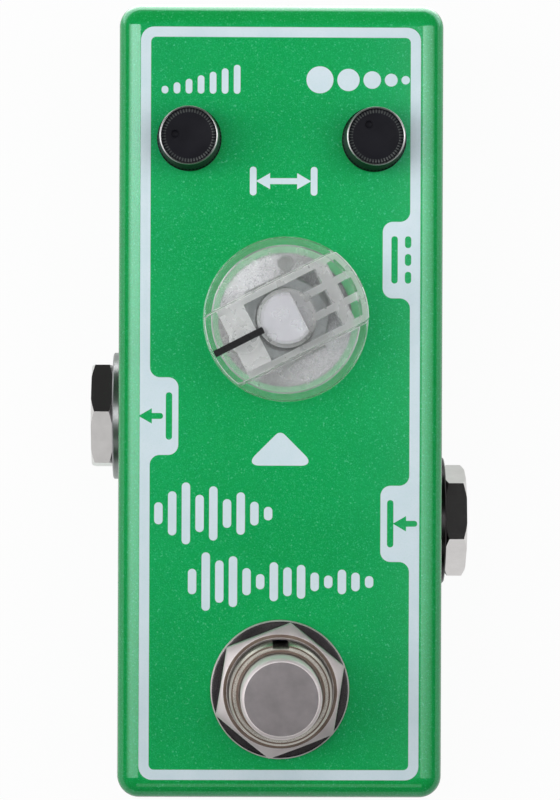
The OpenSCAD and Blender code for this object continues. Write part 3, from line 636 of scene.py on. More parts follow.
def hexagon_nut(name, across, height, bore_r, turn, chamfer):
    """A nut on the origin, both ends chamfered at 30 degrees; the chamfer is its height at a corner."""
    corner = across / 2 / math.cos(math.radians(30))
    slope = math.tan(math.radians(30))
    face = corner - chamfer / slope
    cone = corner + 0.1
    rise = (cone - face) * slope
    nut = turned(name, [(corner, 0), (corner, height)], sides=6)
    place(nut, turn=(0, 0, turn + 30))
    spare = 0.3
    lean = spare / slope
    cones = [(face - lean, -spare), (cone, rise), (cone, height - rise), (face - lean, height + spare)]
    combine(nut, turned("cones", cones, sides=128), "INTERSECT")
    bore = [(bore_r + 0.3, -0.1), (bore_r + 0.2, 0), (bore_r, 0.25), (bore_r, height - 0.25),
            (bore_r + 0.2, height), (bore_r + 0.3, height + 0.1)]
    combine(nut, turned("bore", bore, sides=96))
    soften(nut, 0.07, angle=24)
    return polish(nut, 30)


def thread(r, low, high, pitch, depth):
    """Outline of a threaded length, from low to high."""
    points = []
    count = int((high - low) / pitch)
    step = (high - low) / count
    for i in range(count):
        z = low + i * step
        points += [(r, z), (r, z + 0.15 * step), (r - depth, z + 0.5 * step), (r - depth, z + 0.6 * step)]
    points.append((r, high))
    return points


# Housing

def upright(a, b):
    """Whether an edge between two points stands upright."""
    return abs(a.x - b.x) < 0.01 and abs(a.y - b.y) < 0.01 and abs(a.z - b.z) > 0.01


def corner_posts():
    """Four posts for the cover screws, sunk into the walls and rounded at the corner that stands free."""
    posts = []
    for side, end in CORNERS:
        near_x = (POST_X - POST_HALF) * side
        far_x = POST_FAR_X * side
        near_y = (POST_Y - POST_HALF) * end
        far_y = POST_FAR_Y * end
        post = block("post", (min(near_x, far_x), min(near_y, far_y), BODY_Z + 0.3),
                     (max(near_x, far_x), max(near_y, far_y), CEILING_Z + 0.6))

        def free_corner(a, b):
            return upright(a, b) and abs(a.x - near_x) < 0.1 and abs(a.y - near_y) < 0.1

        round_edges(post, free_corner, 2.8, 6)
        posts.append(post)
    return joined(posts, "posts")


def drilled_holes():
    """What is drilled out of the cast box: screw holes, holes in the panel and holes in the walls."""
    cuts = []
    for side, end in CORNERS:
        hole = turned("screw_hole", [(1.55, BODY_Z - 1), (1.55, BODY_Z + 10)], sides=32)
        cuts.append(place(hole, (side * POST_X, end * POST_Y, 0)))
    panel_holes = ((TIME_X, TIME_Y, TIME_HOLE_R), (TIME_X, LIGHT_Y, LIGHT_HOLE_R),
                   (-SMALL_X, SMALL_Y, SMALL_HOLE_R), (SMALL_X, SMALL_Y, SMALL_HOLE_R),
                   (0, SWITCH_Y, SWITCH_HOLE_R))
    for x, y, r in panel_holes:
        hole = turned("panel_hole", [(r, CEILING_Z - 1), (r, PANEL_Z + 1)], sides=72)
        cuts.append(place(hole, (x, y, 0)))
    wall_holes = ((-1, OUTPUT_Y, JACK_Z, JACK_HOLE_R), (1, INPUT_Y, JACK_Z, JACK_HOLE_R),
                  (1, POWER_Y, POWER_Z, POWER_HOLE_R))
    for side, y, z, r in wall_holes:
        hole = turned("wall_hole", [(r, 16.5), (r, 20)], sides=72)
        cuts.append(place(hole, (0, y, z), (0, side * 90, 0)))
    return joined(cuts, "holes")


def cast_shell(material):
    """Cast box with rounded top and corners, hollow, with corner posts and its drilled holes."""
    shell = block("cast_shell", (-HALF_W, -HALF_L, BODY_Z), (HALF_W, HALF_L, PANEL_Z))
    top = PANEL_Z - 0.01
    round_edges(shell, lambda a, b: upright(a, b) or (a.z > top and b.z > top), CORNER_R, 14)
    low = BODY_Z + 0.01
    round_edges(shell, lambda a, b: a.z < low and b.z < low, 0.25, 3)
    room = block("room", (-INNER_X, -INNER_Y, BODY_Z - 1), (INNER_X, INNER_Y, CEILING_Z))
    combine(shell, room)
    combine(shell, corner_posts(), "UNION")
    combine(shell, drilled_holes())
    polish(shell, 30)
    finish_piece(shell, "cast_shell", "housing", material, ["enclosure"])


def bottom_cover(material):
    """Screwed bottom cover with a rounded lower edge, its locating lip and countersunk holes."""
    cover = block("bottom_cover", (-HALF_W, -HALF_L, COVER_Z), (HALF_W, HALF_L, BODY_Z))
    round_edges(cover, upright, CORNER_R, 12)
    low = COVER_Z + 0.01
    round_edges(cover, lambda a, b: a.z < low and b.z < low, 0.5, 4)
    high = BODY_Z - 0.01
    round_edges(cover, lambda a, b: a.z > high and b.z > high, 0.25, 3)
    gap = 0.2
    lip_t = 1.4
    lip_low = BODY_Z - 0.4
    lip_high = BODY_Z + 1.2
    lip_x = INNER_X - gap
    lip_y = INNER_Y - gap
    end_x = POST_X - POST_HALF - gap
    end_y = POST_Y - POST_HALF - gap
    for side in (-1, 1):
        x = sorted((side * lip_x, side * (lip_x - lip_t)))
        y = sorted((side * lip_y, side * (lip_y - lip_t)))
        combine(cover, block("lip", (x[0], -end_y, lip_low), (x[1], end_y, lip_high)), "UNION")
        combine(cover, block("lip", (-end_x, y[0], lip_low), (end_x, y[1], lip_high)), "UNION")
    sink_outline = [(3.12, COVER_Z - 0.24), (1.7, COVER_Z + 1.3), (1.7, BODY_Z + 1)]
    cuts = []
    for side, end in CORNERS:
        sink = turned("sink", sink_outline, sides=48)
        cuts.append(place(sink, (side * POST_X, end * POST_Y, 0)))
    combine(cover, joined(cuts, "cuts"))
    polish(cover, 30)
    finish_piece(cover, "bottom_cover", "housing", material, ["base_cover"])


def cover_screws(material):
    """Four countersunk cross-head screws."""
    outline = [(2.55, 1.5), (2.68, 1.56), (2.7, 1.66), (1.5, 2.8)]
    outline += thread(1.5, 3.0, 10.9, pitch=0.5, depth=0.22)
    outline.append((1.1, 11.5))
    screw = turned("screw", outline, sides=40)
    long_slot = block("slot", (-1.5, -0.36, 1), (1.5, 0.36, 2.3))
    cross_slot = block("slot", (-0.36, -1.5, 1), (0.36, 1.5, 2.3))
    combine(screw, long_slot)
    combine(screw, cross_slot)
    polish(screw, 35)
    at_corners(screw, POST_X, POST_Y, "cover_screw", material, "cover_screws",
               turn=20, turn_step=31)


def rubber_feet(material):
    """Four round rubber feet with a soft edge and a shallow hollow underneath."""
    outline = [(2.2, 0.25), (2.6, 0.06), (2.9, 0), (3.4, 0), (3.75, 0.1), (3.95, 0.32), (4, 0.6), (4, 1.5)]
    foot = turned("foot", outline, sides=64)
    polish(foot, 50)
    at_corners(foot, FOOT_X, FOOT_Y, "rubber_foot", material, "rubber_feet")


# Print on the panel

def ink_heights(cutter):
    """Lower and upper height of a printed shape, or of one that cuts the print."""
    if cutter:
        return PANEL_Z - INK_CUT, PANEL_Z + INK_CUT
    return PANEL_Z, PANEL_Z + INK_T


def rounded_bar(x, y, length, width, turn=0, cutter=False):
    """A flat bar with round ends."""
    low, high = ink_heights(cutter)
    bar = block("bar", (-length / 2, -width / 2, low), (length / 2, width / 2, high))
    round_edges(bar, upright, min(length, width) / 2 * 0.96, 6)
    return place(bar, (x, y, 0), (0, 0, turn))


def arrow_head(x, y, size, turn, cutter=False):
    """A flat triangle that points along the turn."""
    low, high = ink_heights(cutter)
    head = turned("head", [(size, low), (size, high)], sides=3)
    return place(head, (x, y, 0), (0, 0, turn - 90))


def printed(piece, name, material):
    """Finishes a printed piece as a part of the housing."""
    finish_piece(piece, name, "housing", material)


def panel_border(material):
    """Printed line round the panel, with a tab beside each jack and the power socket."""
    border = block("border", (-16.66, -44.75, PANEL_Z), (16.44, 44.25, PANEL_Z + INK_T))
    round_edges(border, upright, 1.6, 8)
    low_end = -43.55
    high_end = 43.05
    inside = block("inside", (-15.46, low_end, PANEL_Z - INK_CUT), (15.24, high_end, PANEL_Z + INK_CUT))
    tabs = ((-20, -12.09, -6.35, 2.82), (11.84, 20, -18.92, -9.91), (12.0, 20, 12.25, 21.3))
    for x0, x1, y0, y1 in tabs:
        combine(inside, block("tab", (x0, y0, PANEL_Z - 1), (x1, y1, PANEL_Z + 1)))

    def at_corner(a):
        return abs(a.y - low_end) < 0.1 or abs(a.y - high_end) < 0.1

    round_edges(inside, lambda a, b: upright(a, b) and not at_corner(a), 1.2, 8)
    round_edges(inside, lambda a, b: upright(a, b) and at_corner(a), 0.6, 5)
    combine(border, inside)
    bar_l = 5.6
    bar_w = 0.75
    marks = []
    for bar_x, stem_x, head_x, y in ((-13.2, -15.0, -15.75, -1.75), (13.0, 15.1, 14.35, -14.4)):
        marks.append(rounded_bar(bar_x, y, bar_l, bar_w, 90, cutter=True))
        marks.append(rounded_bar(stem_x, y, 2.2, 0.7, 0, cutter=True))
        marks.append(arrow_head(head_x, y, 1.05, 180, cutter=True))
    marks.append(rounded_bar(13.4, POWER_Y, bar_l, bar_w, 90, cutter=True))
    marks += [rounded_bar(15.0, POWER_Y + 2.1 * i, 1.4, bar_w, 90, cutter=True) for i in (-1, 0, 1)]
    for mark in marks:
        combine(border, mark)
    printed(border, "panel_border", material)


def upright_bars(x, y, pitch, width, heights):
    """A row of upright printed bars about a middle line."""
    return [rounded_bar(x + pitch * i, y, tall, width, 90) for i, tall in enumerate(heights)]


def level_sign(material):
    """Rising bars over the level knob."""
    bars = []
    for i in range(7):
        tall = 0.9 + 0.42 * i
        bars.append(rounded_bar(-9.55 + 1.42 * (i - 3), 36.35 + tall / 2, tall, 0.8, 90))
    printed(joined(bars, "bars"), "level_sign", material)


def repeat_sign(material):
    """Fading dots over the repeat knob."""
    dots = []
    x = 2.9
    dot_gap = 0.45
    for r in (1.6, 1.32, 1.04, 0.76, 0.5):
        x += r
        dot = turned("dot", [(r, PANEL_Z), (r, PANEL_Z + INK_T)], sides=40)
        dots.append(place(dot, (x, 38.05, 0)))
        x += r + dot_gap
    printed(joined(dots, "dots"), "repeat_sign", material)


def time_sign(material):
    """A span between two bars, with an arrow head at each end, over the time knob."""
    y = 26.05
    span = rounded_bar(-3.35, y, 3.4, 0.8, 90)
    others = [rounded_bar(3.85, y, 3.4, 0.8, 90), rounded_bar(0.25, y, 4.6, 0.7),
              arrow_head(-1.9, y, 1.1, 180), arrow_head(2.4, y, 1.1, 0)]
    for other in others:
        combine(span, other, "UNION")
    printed(span, "time_sign", material)


def start_triangle(material):
    """A triangle with rounded corners that points at the time knob."""
    half_w = 4.19
    height = 4.19
    triangle = turned("triangle", [(1, PANEL_Z), (1, PANEL_Z + INK_T)], sides=3)
    triangle.scale = (half_w / 0.866, height / 1.5, 1)
    place(triangle, (-0.04, -6.18, 0))
    round_edges(triangle, lambda a, b: upright(a, b) and a.y < -7, 1.74, 8)
    round_edges(triangle, lambda a, b: upright(a, b) and a.y > -4, 0.73, 8)
    printed(triangle, "start_triangle", material)


def echo_sign(material):
    """A burst of sound and, below it, its longer fading echo."""
    sound = (2.6, 5.2, 7.3, 4.4, 6.4, 3.4, 5.0, 2.8, 1.6)
    fading = (3.0, 6.9, 5.0, 6.0, 3.2, 1.8, 4.6, 3.4, 4.0, 2.2, 1.5, 2.9, 2.2, 1.4)
    burst = upright_bars(-14.4, -13.25, 1.62, 1.0, sound)
    echo = upright_bars(-10.4, -21.3, 1.61, 1.0, fading)
    printed(joined(burst + echo, "bars"), "echo_sign", material)


# Time control

def time_washer(material):
    """Large washer under the clear knob, with a window for the status light."""
    outline = [(TIME_HOLE_R, PANEL_Z), (7.8, PANEL_Z), (7.9, 32.6), (7.9, 32.95),
               (7.75, TIME_WASHER_TOP), (3.75, TIME_WASHER_TOP), (TIME_HOLE_R, 33.05)]
    washer = turned("washer", outline, sides=128, bored=True)
    window = turned("window", [(LIGHT_HOLE_R, 32), (LIGHT_HOLE_R, 33.0), (1.05, 33.15)], sides=40)
    combine(washer, place(window, (0, LIGHT_Y - TIME_Y, 0)))
    polish(washer, 30)
    place(washer, (TIME_X, TIME_Y, 0))
    finish_piece(washer, "time_washer", "housing", material, ["time_pot_washer"])


def time_nut(material):
    """Hexagon nut of the time pot."""
    nut = hexagon_nut("time_nut", across=10, height=2, bore_r=3.55, turn=27, chamfer=0.55)
    place(nut, (TIME_X, TIME_Y, TIME_WASHER_TOP))
    finish_piece(nut, "time_nut", "housing", material, ["time_pot_nut"])


def time_bush(material):
    """Threaded bush of the time pot."""
    outline = [(3.05, CEILING_Z), (3.5, CEILING_Z)] + thread(3.5, 30.6, 34.9, pitch=0.6, depth=0.2)
    outline += [(3.35, 35.1), (3.15, 35.1), (3.05, 35.0)]
    bush = turned("time_bush", outline, sides=72, bored=True)
    polish(bush, 30)
    place(bush, (TIME_X, TIME_Y, 0))
    finish_piece(bush, "time_bush", "housing", material, ["time_pot_bush"])


def time_shaft(material):
    """Round shaft with a flat that faces away from the pointer."""
    shaft = turned("time_shaft", [(2.9, 24.6), (3, 24.7), (3, 41.35), (2.9, 41.55), (2.65, 41.7)], sides=72)
    combine(shaft, block("flat", (-5, -5, 35.15), (-1.6, 5, 45)))
    soften(shaft, 0.08)
    polish(shaft, 30)
    place(shaft, (TIME_X, TIME_Y, 0), (0, 0, TIME_POINTS_TO))
    finish_piece(shaft, "time_shaft", "time_control", material, ["time_pot_shaft"])


def bar_hollow():
    """What is missing from the grip bar: open below, with the collar, walls and ribs left standing."""
    hollow = turned("hollow", [(HOLLOW_R, 2.2), (HOLLOW_R, 8.7)], sides=128)
    sides = block("sides", (-9, -HOLLOW_HALF_W, 0), (HOLLOW_END, HOLLOW_HALF_W, 12))
    combine(hollow, sides, "INTERSECT")
    combine(hollow, turned("collar", [(3.45, 1), (3.45, 10)], sides=72))
    combine(hollow, block("cross_wall", (-7.0, -5, 1), (-5.5, 5, 10)))
    combine(hollow, block("pocket_roof", (3.75, -5, 7.4), (8, 5, 10)))
    for side in (-1, 1):
        middle = side * 1.35
        combine(hollow, block("rib", (-10, middle - 0.45, 1), (-2, middle + 0.45, 10)))
    return hollow


def frosted_face(middle, normal):
    """Faces of the clear knob that the mould left matt."""
    r = math.hypot(middle.x, middle.y)
    inside = abs(middle.y) < HOLLOW_HALF_W + 0.1
    walls = inside and -7.05 < middle.x < -3.4 and middle.z < 8.6
    web = 2.4 < middle.z < 2.75 and r < 8.8 and normal.z < -0.3
    grip_sides = abs(middle.y) > 4.1 and 4.0 < middle.z < 10.2 and abs(normal.y) > 0.2
    socket_end = 8.73 < middle.z < 8.8 and normal.z < -0.9
    return walls or web or grip_sides or socket_end


def milky_and_highlight_face(middle, normal):
    """Undersides of the grip bar's walls and its pocket roof, which are milky, and its far rim and upper
    edge, made milky as painted highlights.
    """
    low = 2.4 < middle.z < 2.75 and normal.z < -0.3
    wall = low and abs(middle.y) < GRIP_HALF_W and -8.8 < middle.x < HOLLOW_END
    pocket = abs(middle.y) < HOLLOW_HALF_W + 0.1 and middle.x > 3.7 and 7.2 < middle.z < 7.7
    # Painted highlight: a pale line along the bar's upper edge
    edge_highlight = middle.z > 9.75 and normal.z < 0.93 and abs(middle.y) > 0.6
    # Painted highlight: the pale band of light in the thick far end wall
    far_rim_highlight = middle.z < 0.2 and normal.z < -0.5 and middle.x < -7 and abs(middle.y) < GRIP_HALF_W
    return wall or pocket or edge_highlight or far_rim_highlight


def time_knob(clear, frosted, milky):
    """Clear knob: round skirt and hollow grip bar, with a collar on the shaft and a pointer groove."""
    skirt = [(9.55, 0), (9.7, 0.15), (9.7, 3.55), (9.62, 3.85), (9.45, 4.0)]
    knob = turned("time_knob", skirt, sides=160)
    bar = block("bar", (-9.65, -GRIP_HALF_W, 2.7), (9.65, GRIP_HALF_W, GRIP_TOP))
    round_edges(bar, upright, 2.0, 8)
    for point in bar.data.vertices:
        if point.co.z > 10 * MM:
            point.co.y *= 0.93
    combine(bar, turned("ends", [(9.55, 2), (9.55, 8.9), (9.4, 11)], sides=160), "INTERSECT")
    top = GRIP_TOP - 0.01
    round_edges(bar, lambda a, b: a.z > top and b.z > top, 0.5, 4)
    combine(knob, bar, "UNION")
    combine(knob, turned("under", [(HOLLOW_R, -1), (HOLLOW_R, 2.5), (8.55, 2.7)], sides=160))

    def at_foot(a):
        return abs(a.z - 4) < 0.01 and 4.3 < abs(a.y) < 4.75

    round_edges(knob, lambda a, b: at_foot(a) and at_foot(b), 0.5, 4)
    combine(knob, bar_hollow())
    socket = turned("socket", [(3.05, 2.2), (3.05, SOCKET_ROOF)], sides=72)
    combine(socket, block("flat", (-5, -5, 0), (-1.65, 5, 12)))
    combine(knob, socket)
    mark = turned("mark", [(1.55, 7.1), (1.85, 7.1), (1.85, 7.6), (1.55, 7.6)], sides=48, bored=True)
    combine(knob, place(mark, (5.35, 0, 0)))
    combine(knob, block("groove", (2.95, -0.45, 10.0), (9.35, 0.45, 11)))
    soften(knob, 0.1, angle=36)
    score(knob, (0, GRIP_HALF_W, 0), (0, 1, 0))
    score(knob, (0, -GRIP_HALF_W, 0), (0, 1, 0))
    score(knob, (HOLLOW_END, 0, 0), (1, 0, 0))
    polish(knob, 34)
    two_tone(knob, clear, frosted, frosted_face)
    third_tone(knob, milky, milky_and_highlight_face)
    place(knob, (TIME_X, TIME_Y, KNOB_Z), (0, 0, TIME_POINTS_TO))
    finish_piece(knob, "time_knob_clear", "time_control", clear, ["time_knob"])


def time_pointer(material):
    """Black pointer line in the groove of the clear knob."""
    line = block("pointer", (3, -0.4, 10.0), (9.3, 0.4, 10.28))
    round_edges(line, upright, 0.12, 3)
    soften(line, 0.04)
    polish(line)
    place(line, (TIME_X, TIME_Y, KNOB_Z), (0, 0, TIME_POINTS_TO))
    finish_piece(line, "time_pointer_line", "time_control", material, ["time_pointer"])


# Small knobs

def rim_face(middle):
    """The rim of a small knob, which takes a painted highlight."""
    return middle.z > 5.82 and math.hypot(middle.x, middle.y) > 3.2


def tooth_face(middle):
    """One flank of each fine tooth inside the rim of a small knob, which is painted lighter as painted
    sheen.
    """
    r = math.hypot(middle.x, middle.y)
    flank = int((math.atan2(middle.y, middle.x) + math.pi) * KNOB_SIDES / math.tau) % 2
    return flank == 0 and 2.8 < r < 3.18 and middle.z > 5.5


def small_knob(name, body, node, x, points_to, material, rim, flank_sheen):
    """Small tapered knob with fine ribs, a rim that takes a painted highlight, tooth flanks lighter as
    painted sheen, a dished top and a pointer dimple.
    """
    groove = 0.975
    tooth_h = 0.09
    outline = [(3.7, 0), (3.8, 0.1), (3.8, 0.8), (3.72, 1.0), (3.43, 5.7), (3.43, 5.87), (3.38, 5.97),
               (3.31, 6.0), (3.24, 5.97), (3.21, 5.87), (3.16, 5.62), (3.08, DISH_Z), (2.7, DISH_Z),
               (2.6, DISH_Z), (0.5, DISH_Z)]
    cap = turned(name, outline, sides=KNOB_SIDES)
    for point in cap.data.vertices:
        r = math.hypot(point.co.x, point.co.y) / MM
        z = point.co.z / MM
        facet = math.degrees(math.atan2(point.co.y, point.co.x)) / (360 / KNOB_SIDES)
        every_other = round(facet) % 2 == 1
        if every_other and 0.95 < z < 5.72 and r > 3.3:
            point.co.x *= groove
            point.co.y *= groove
        if every_other and 2.65 < r < 3.18 and z < 5.7:
            point.co.z += tooth_h * MM
    bore = turned("bore", [(2.05, -0.5), (2.05, 4.65)], sides=48)
    combine(cap, bore)
    dimple = turned("dimple", [(0.3, 5.1), (0.45, 5.2), (0.45, 5.52), (0.5, 5.6), (0.5, 6)], sides=32)
    combine(cap, place(dimple, (1.6, 0, 0)))
    polish(cap, 34)
    two_tone(cap, material, rim, lambda c, n: rim_face(c))
    third_tone(cap, flank_sheen, lambda c, n: tooth_face(c))
    place(cap, (x, SMALL_Y, KNOB_Z), (0, 0, points_to))
    finish_piece(cap, name, body, material, [node])


# Footswitch

def switch_washer(plate, dark):
    """Dress washer whose face is painted near-black as painted shade, the dark reflection of the room
    overhead.
    """
    outline = [(SWITCH_HOLE_R, PANEL_Z), (8.15, PANEL_Z), (8.2, 32.56), (8.2, 33.12), (8.05, 33.27),
               (7.9, SWITCH_WASHER_TOP), (6.3, SWITCH_WASHER_TOP), (SWITCH_HOLE_R, 33.22)]
    washer = turned("washer", outline, sides=128, bored=True)
    polish(washer, 40)
    two_tone(washer, plate, dark, lambda c, n: n.z > 0.9)
    place(washer, (0, SWITCH_Y, 0))
    finish_piece(washer, "switch_washer", "housing", plate, ["footswitch_washer"])


def switch_nut(plate, face):
    """Hexagon nut whose top face is darkened as painted shade, the dark reflection of the room overhead."""
    nut = hexagon_nut("nut", across=14, height=2.4, bore_r=6.05, turn=81, chamfer=0.8)
    two_tone(nut, plate, face, lambda c, n: n.z > 0.97 and c.z > 2.3)
    place(nut, (0, SWITCH_Y, SWITCH_WASHER_TOP))
    finish_piece(nut, "switch_nut", "housing", plate, ["footswitch_nut"])


def dark_land(r):
    """Rings on the bush's end, darkened as painted shade."""
    return 4.96 < r < 5.19 or 5.58 < r < 5.8


def switch_bush(metal, shaded_ring_metal):
    """Threaded bush with its keyway and a stepped end."""
    outline = [(4.75, 27.5), (6, 27.5)] + thread(6, 27.9, 39.6, pitch=0.75, depth=0.28)
    outline += [(5.82, 39.85), (5.75, 39.95), (5.6, 39.95), (5.55, 40.1), (5.3, 40.1), (5.27, 40.03),
                (5.21, 40.03), (5.18, 40.1), (4.95, 40.1), (4.75, 39.85)]
    bush = turned("bush", outline, sides=96, bored=True)
    combine(bush, block("keyway", (-0.95, 5.3, 27), (0.95, 7, 41)))
    polish(bush, 24)
    two_tone(bush, metal, shaded_ring_metal, lambda c, n: n.z > 0.9 and dark_land(math.hypot(c.x, c.y)))
    place(bush, (0, SWITCH_Y, 0))
    finish_piece(bush, "switch_bush", "housing", metal, ["footswitch_bush"])


def switch_plunger(plate, satin):
    """Plunger with a shoulder that the bush holds back, and a satin face darkened as painted shade."""
    outline = [(5.1, 25.95), (5.2, 26.05), (5.2, 27.4), (5.15, 27.45), (4.7, 27.45), (4.7, 45.55),
               (4.66, 45.75), (4.56, 45.92), (4.4, 46.05), (4.25, PLUNGER_TOP), (0.4, PLUNGER_TOP)]
    plunger = turned("plunger", outline, sides=96)
    polish(plunger, 24)
    two_tone(plunger, plate, satin, lambda c, n: n.z > 0.99 and c.z > 46.05)
    place(plunger, (0, SWITCH_Y, 0))
    finish_piece(plunger, "switch_plunger", "footswitch_button", plate, ["footswitch_plunger"])


def switch_spring(material):
    """Return spring: a wire wound from the case floor to the plunger."""
    let_go()
    bpy.ops.mesh.primitive_circle_add(vertices=12, radius=SPRING_WIRE_R * MM)
    spring = bpy.context.object
    place(spring, (SPRING_R, 0, 0), (90, 0, 0))
    coil = spring.modifiers.new("coil", "SCREW")
    coil.axis = "Z"
    coil.iterations = SPRING_TURNS
    coil.screw_offset = SPRING_RISE / SPRING_TURNS * MM
    coil.steps = 32
    coil.render_steps = 32
    bpy.ops.object.modifier_apply(modifier=coil.name)
    bpy.ops.object.mode_set(mode="EDIT")
    bpy.ops.mesh.select_all(action="SELECT")
    bpy.ops.mesh.remove_doubles(threshold=1e-6)
    bpy.ops.mesh.fill_holes(sides=0)
    bpy.ops.mesh.normals_make_consistent(inside=False)
    bpy.ops.object.mode_set(mode="OBJECT")
    polish(spring, 50)
    place(spring, (0, SWITCH_Y, CASE_FLOOR_Z + SPRING_WIRE_R + SPRING_PLAY))
    finish_piece(spring, "switch_spring", "housing", material, ["footswitch_spring"])
    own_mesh(spring)


# Jacks

def jack(kind, side, y, turn, nickel, washer_tone_and_shade):
    """Washer, nut and bush of a jack; local heights run out from the wall's inner face."""
    washer_top = 3.0
    outline = [(JACK_HOLE_R, 2), (7.6, 2), (7.75, 2.15), (7.75, 2.85), (7.6, washer_top),
               (4.8, washer_top), (JACK_HOLE_R, 2.9)]
    washer = turned("washer", outline, sides=128, bored=True)
    polish(washer, 40)
    nut = hexagon_nut("nut", across=12, height=2.6, bore_r=4.55, turn=turn, chamfer=0.42)
    place(nut, (0, 0, washer_top))
    outline = [(3.2, 0), (4.5, 0)] + thread(4.5, 0.3, 5.05, pitch=0.7, depth=0.25)
    outline += [(4.3, 5.4), (3.5, 5.4), (3.2, 5.15)]
    bush = turned("bush", outline, sides=96, bored=True)
    polish(bush, 30)
    # The washer's metal is its own tone on the output jack and painted shade on the input jack
    for piece, part, metal in ((washer, "washer", washer_tone_and_shade), (nut, "nut", nickel), (bush, "bush", nickel)):
        place(piece, (side * INNER_X, y, JACK_Z), (0, side * 90, 0))
        finish_piece(piece, f"{kind}_{part}", "housing", metal, [f"{kind}_jack_{part}"])


# The pedal

set_camera()
bpy.context.scene.view_settings.view_transform = "Standard"
light_world()
hang_lamps()
lay_floor()

lacquer = flake_paint()
ink = screen_ink()
plate = bright_metal("bright_nickel_plate", (0.78, 0.76, 0.75), (0.86, 0.84, 0.83), 0.09)
# The time washer's colour holds a painted reflection and painted light from one side
time_washer_painted_sheen = sheen_painted_metal("washer_metal_painted_sheen", (0.12, 0.12, 0.125), (0.68, 0.665, 0.71), 0.27,
                          (TIME_X, TIME_Y), 132)
dark_plate = bright_metal("dark_nut_plate", (0.2, 0.21, 0.215), (0.26, 0.27, 0.275), 0.24, 0.2)
nut_plate = bright_metal("pale_nut_plate", (0.88, 0.82, 0.82), (0.94, 0.89, 0.89), 0.6, 0.2)
# Dark brownish metal: painted shade for the switch nut's top face and the bush's end rings
nut_face_painted_shade = bright_metal("dark_nut_face_painted_shade", (0.14, 0.105, 0.085), (0.19, 0.145, 0.12), 0.36, 0.3)
bush_metal = bright_metal("turned_bush_metal", (0.46, 0.44, 0.4), (0.56, 0.53, 0.48), 0.28, 0.2)
# Satin metal darkened as painted shade for the plunger's face
plunger_face_painted_shade = bright_metal("satin_plunger_face_painted_shade", (0.2, 0.185, 0.19), (0.26, 0.24, 0.245), 0.42, 0.5)
jack_steel = bright_metal("dull_jack_washer", (0.36, 0.36, 0.37), (0.45, 0.45, 0.46), 0.3, 0.2)
# Near-black steel: painted shade, for the dress washer's face and the shaded input washer
shade_painted_steel = bright_metal("near_black_steel_painted_shade", (0.035, 0.032, 0.034), (0.055, 0.05, 0.052), 0.24, 0.2)
steel = bright_metal("dull_steel", (0.3, 0.3, 0.31), (0.38, 0.38, 0.39), 0.38)
aluminium = bright_metal("satin_shaft_metal", (0.38, 0.37, 0.425), (0.42, 0.41, 0.465), 0.5, 0.3, metallic=0)
brass = bright_metal("brass_leaf", (0.72, 0.53, 0.22), (0.8, 0.62, 0.3), 0.22)
rubber = moulded("black_rubber", (0.012, 0.012, 0.012), (0.02, 0.02, 0.02), 0.75, grain=0.35, depth=0.03)
black = moulded("black_moulding", (0.009, 0.009, 0.012), (0.013, 0.013, 0.017), 0.45, bend=1.14)
# Grey metal on the black knobs' rims: a painted highlight
rim_painted_highlight = bright_metal("knob_rim_painted_highlight", (0.42, 0.42, 0.42), (0.56, 0.56, 0.56), 0.3, 0.3)
# Lighter black for one flank of each tooth: painted sheen
tooth_flank_painted_sheen = moulded("tooth_flank_painted_sheen_moulding", (0.02, 0.025, 0.025), (0.034, 0.04, 0.04), 0.45)
pointer_black = moulded("pointer_paint", (0.011, 0.011, 0.012), (0.016, 0.016, 0.017), 0.3, bend=1.22)
blue = moulded("blue_case_moulding", (0.02, 0.045, 0.16), (0.03, 0.06, 0.2), 0.45)
red = moulded("red_box_coating", (0.3, 0.025, 0.015), (0.4, 0.04, 0.02), 0.3)
sleeve = moulded("dark_can_sleeve", (0.012, 0.014, 0.035), (0.02, 0.022, 0.05), 0.25)
board = moulded("green_solder_mask", (0.005, 0.06, 0.022), (0.008, 0.085, 0.03), 0.4, grain=0.5, depth=0.02)
grey_wire = moulded("grey_wire_skin", (0.3, 0.3, 0.32), (0.38, 0.38, 0.4), 0.5)
acrylic = clear_acrylic("clear_knob_plastic", (0.96, 0.985, 0.98), rough=0.03, clearness=0.95, ripple=0.01)
frost = clear_acrylic("frosted_knob_hollow", (0.86, 0.81, 0.82), rough=0.2, clearness=0.75, ripple=0.008)
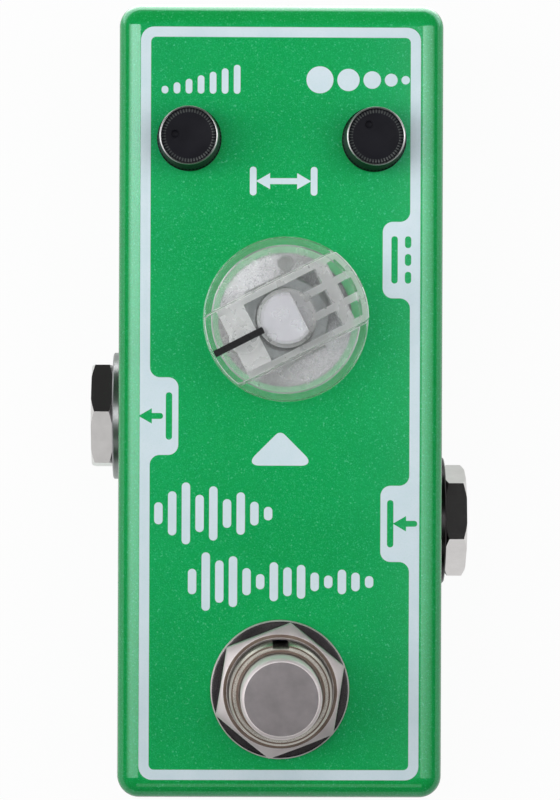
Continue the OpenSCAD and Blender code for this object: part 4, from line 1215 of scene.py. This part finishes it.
milk = clear_acrylic("milky_knob_walls_and_painted_highlights", (0.9, 0.86, 0.865), rough=0.3, clearness=0.52, ripple=0.02)
lens_resin = clear_acrylic("milky_light_resin", (0.5, 0.53, 0.6), rough=0.25, clearness=0.8)

cast_shell(lacquer)
bottom_cover(lacquer)
cover_screws(steel)
rubber_feet(rubber)
panel_border(ink)
level_sign(ink)
repeat_sign(ink)
time_sign(ink)
start_triangle(ink)
echo_sign(ink)
time_washer(time_washer_painted_sheen)
time_nut(dark_plate)
time_bush(plate)
time_shaft(aluminium)
time_knob(acrylic, frost, milk)
time_pointer(pointer_black)
small_knob("level_knob_cap", "level_control", "level_knob", -SMALL_X, LEVEL_POINTS_TO,
           black, rim_painted_highlight, tooth_flank_painted_sheen)
small_knob("repeat_knob_cap", "repeat_control", "repeat_knob", SMALL_X, REPEAT_POINTS_TO,
           black, rim_painted_highlight, tooth_flank_painted_sheen)
switch_washer(nut_plate, shade_painted_steel)
switch_nut(nut_plate, nut_face_painted_shade)
switch_bush(bush_metal, nut_face_painted_shade)
switch_plunger(nut_plate, plunger_face_painted_shade)
switch_spring(plate)
jack("output", -1, OUTPUT_Y, 4.6, plate, jack_steel)
# The input washer takes the near-black steel as painted shade
jack("input", 1, INPUT_Y, 17.4, plate, shade_painted_steel)

# Pieces that keep their CAD shape, most of them out of sight, and what each is made of
kept = {
    "main_board": board, "switch_board": board, "board_link": grey_wire,
    "delay_chip": black, "amplifier_chip": black, "voltage_regulator": black,
    "electrolytic_capacitors": sleeve, "film_capacitors": red, "status_led": lens_resin,
    "time_pot_body": steel, "level_pot_body": steel, "repeat_pot_body": steel,
    "level_pot_shaft": black, "repeat_pot_shaft": black,
    "footswitch_case": blue, "footswitch_lock_nut": plate, "footswitch_lock_washer": plate,
    "footswitch_terminals": brass,
    "output_jack_body": black, "output_jack_contacts": brass,
    "input_jack_body": black, "input_jack_contacts": brass,
    "power_socket_body": black, "power_socket_pin": plate, "power_socket_contact": brass,
}
for node, material in kept.items():
    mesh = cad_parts[node].data
    mesh.materials.clear()
    mesh.materials.append(material)
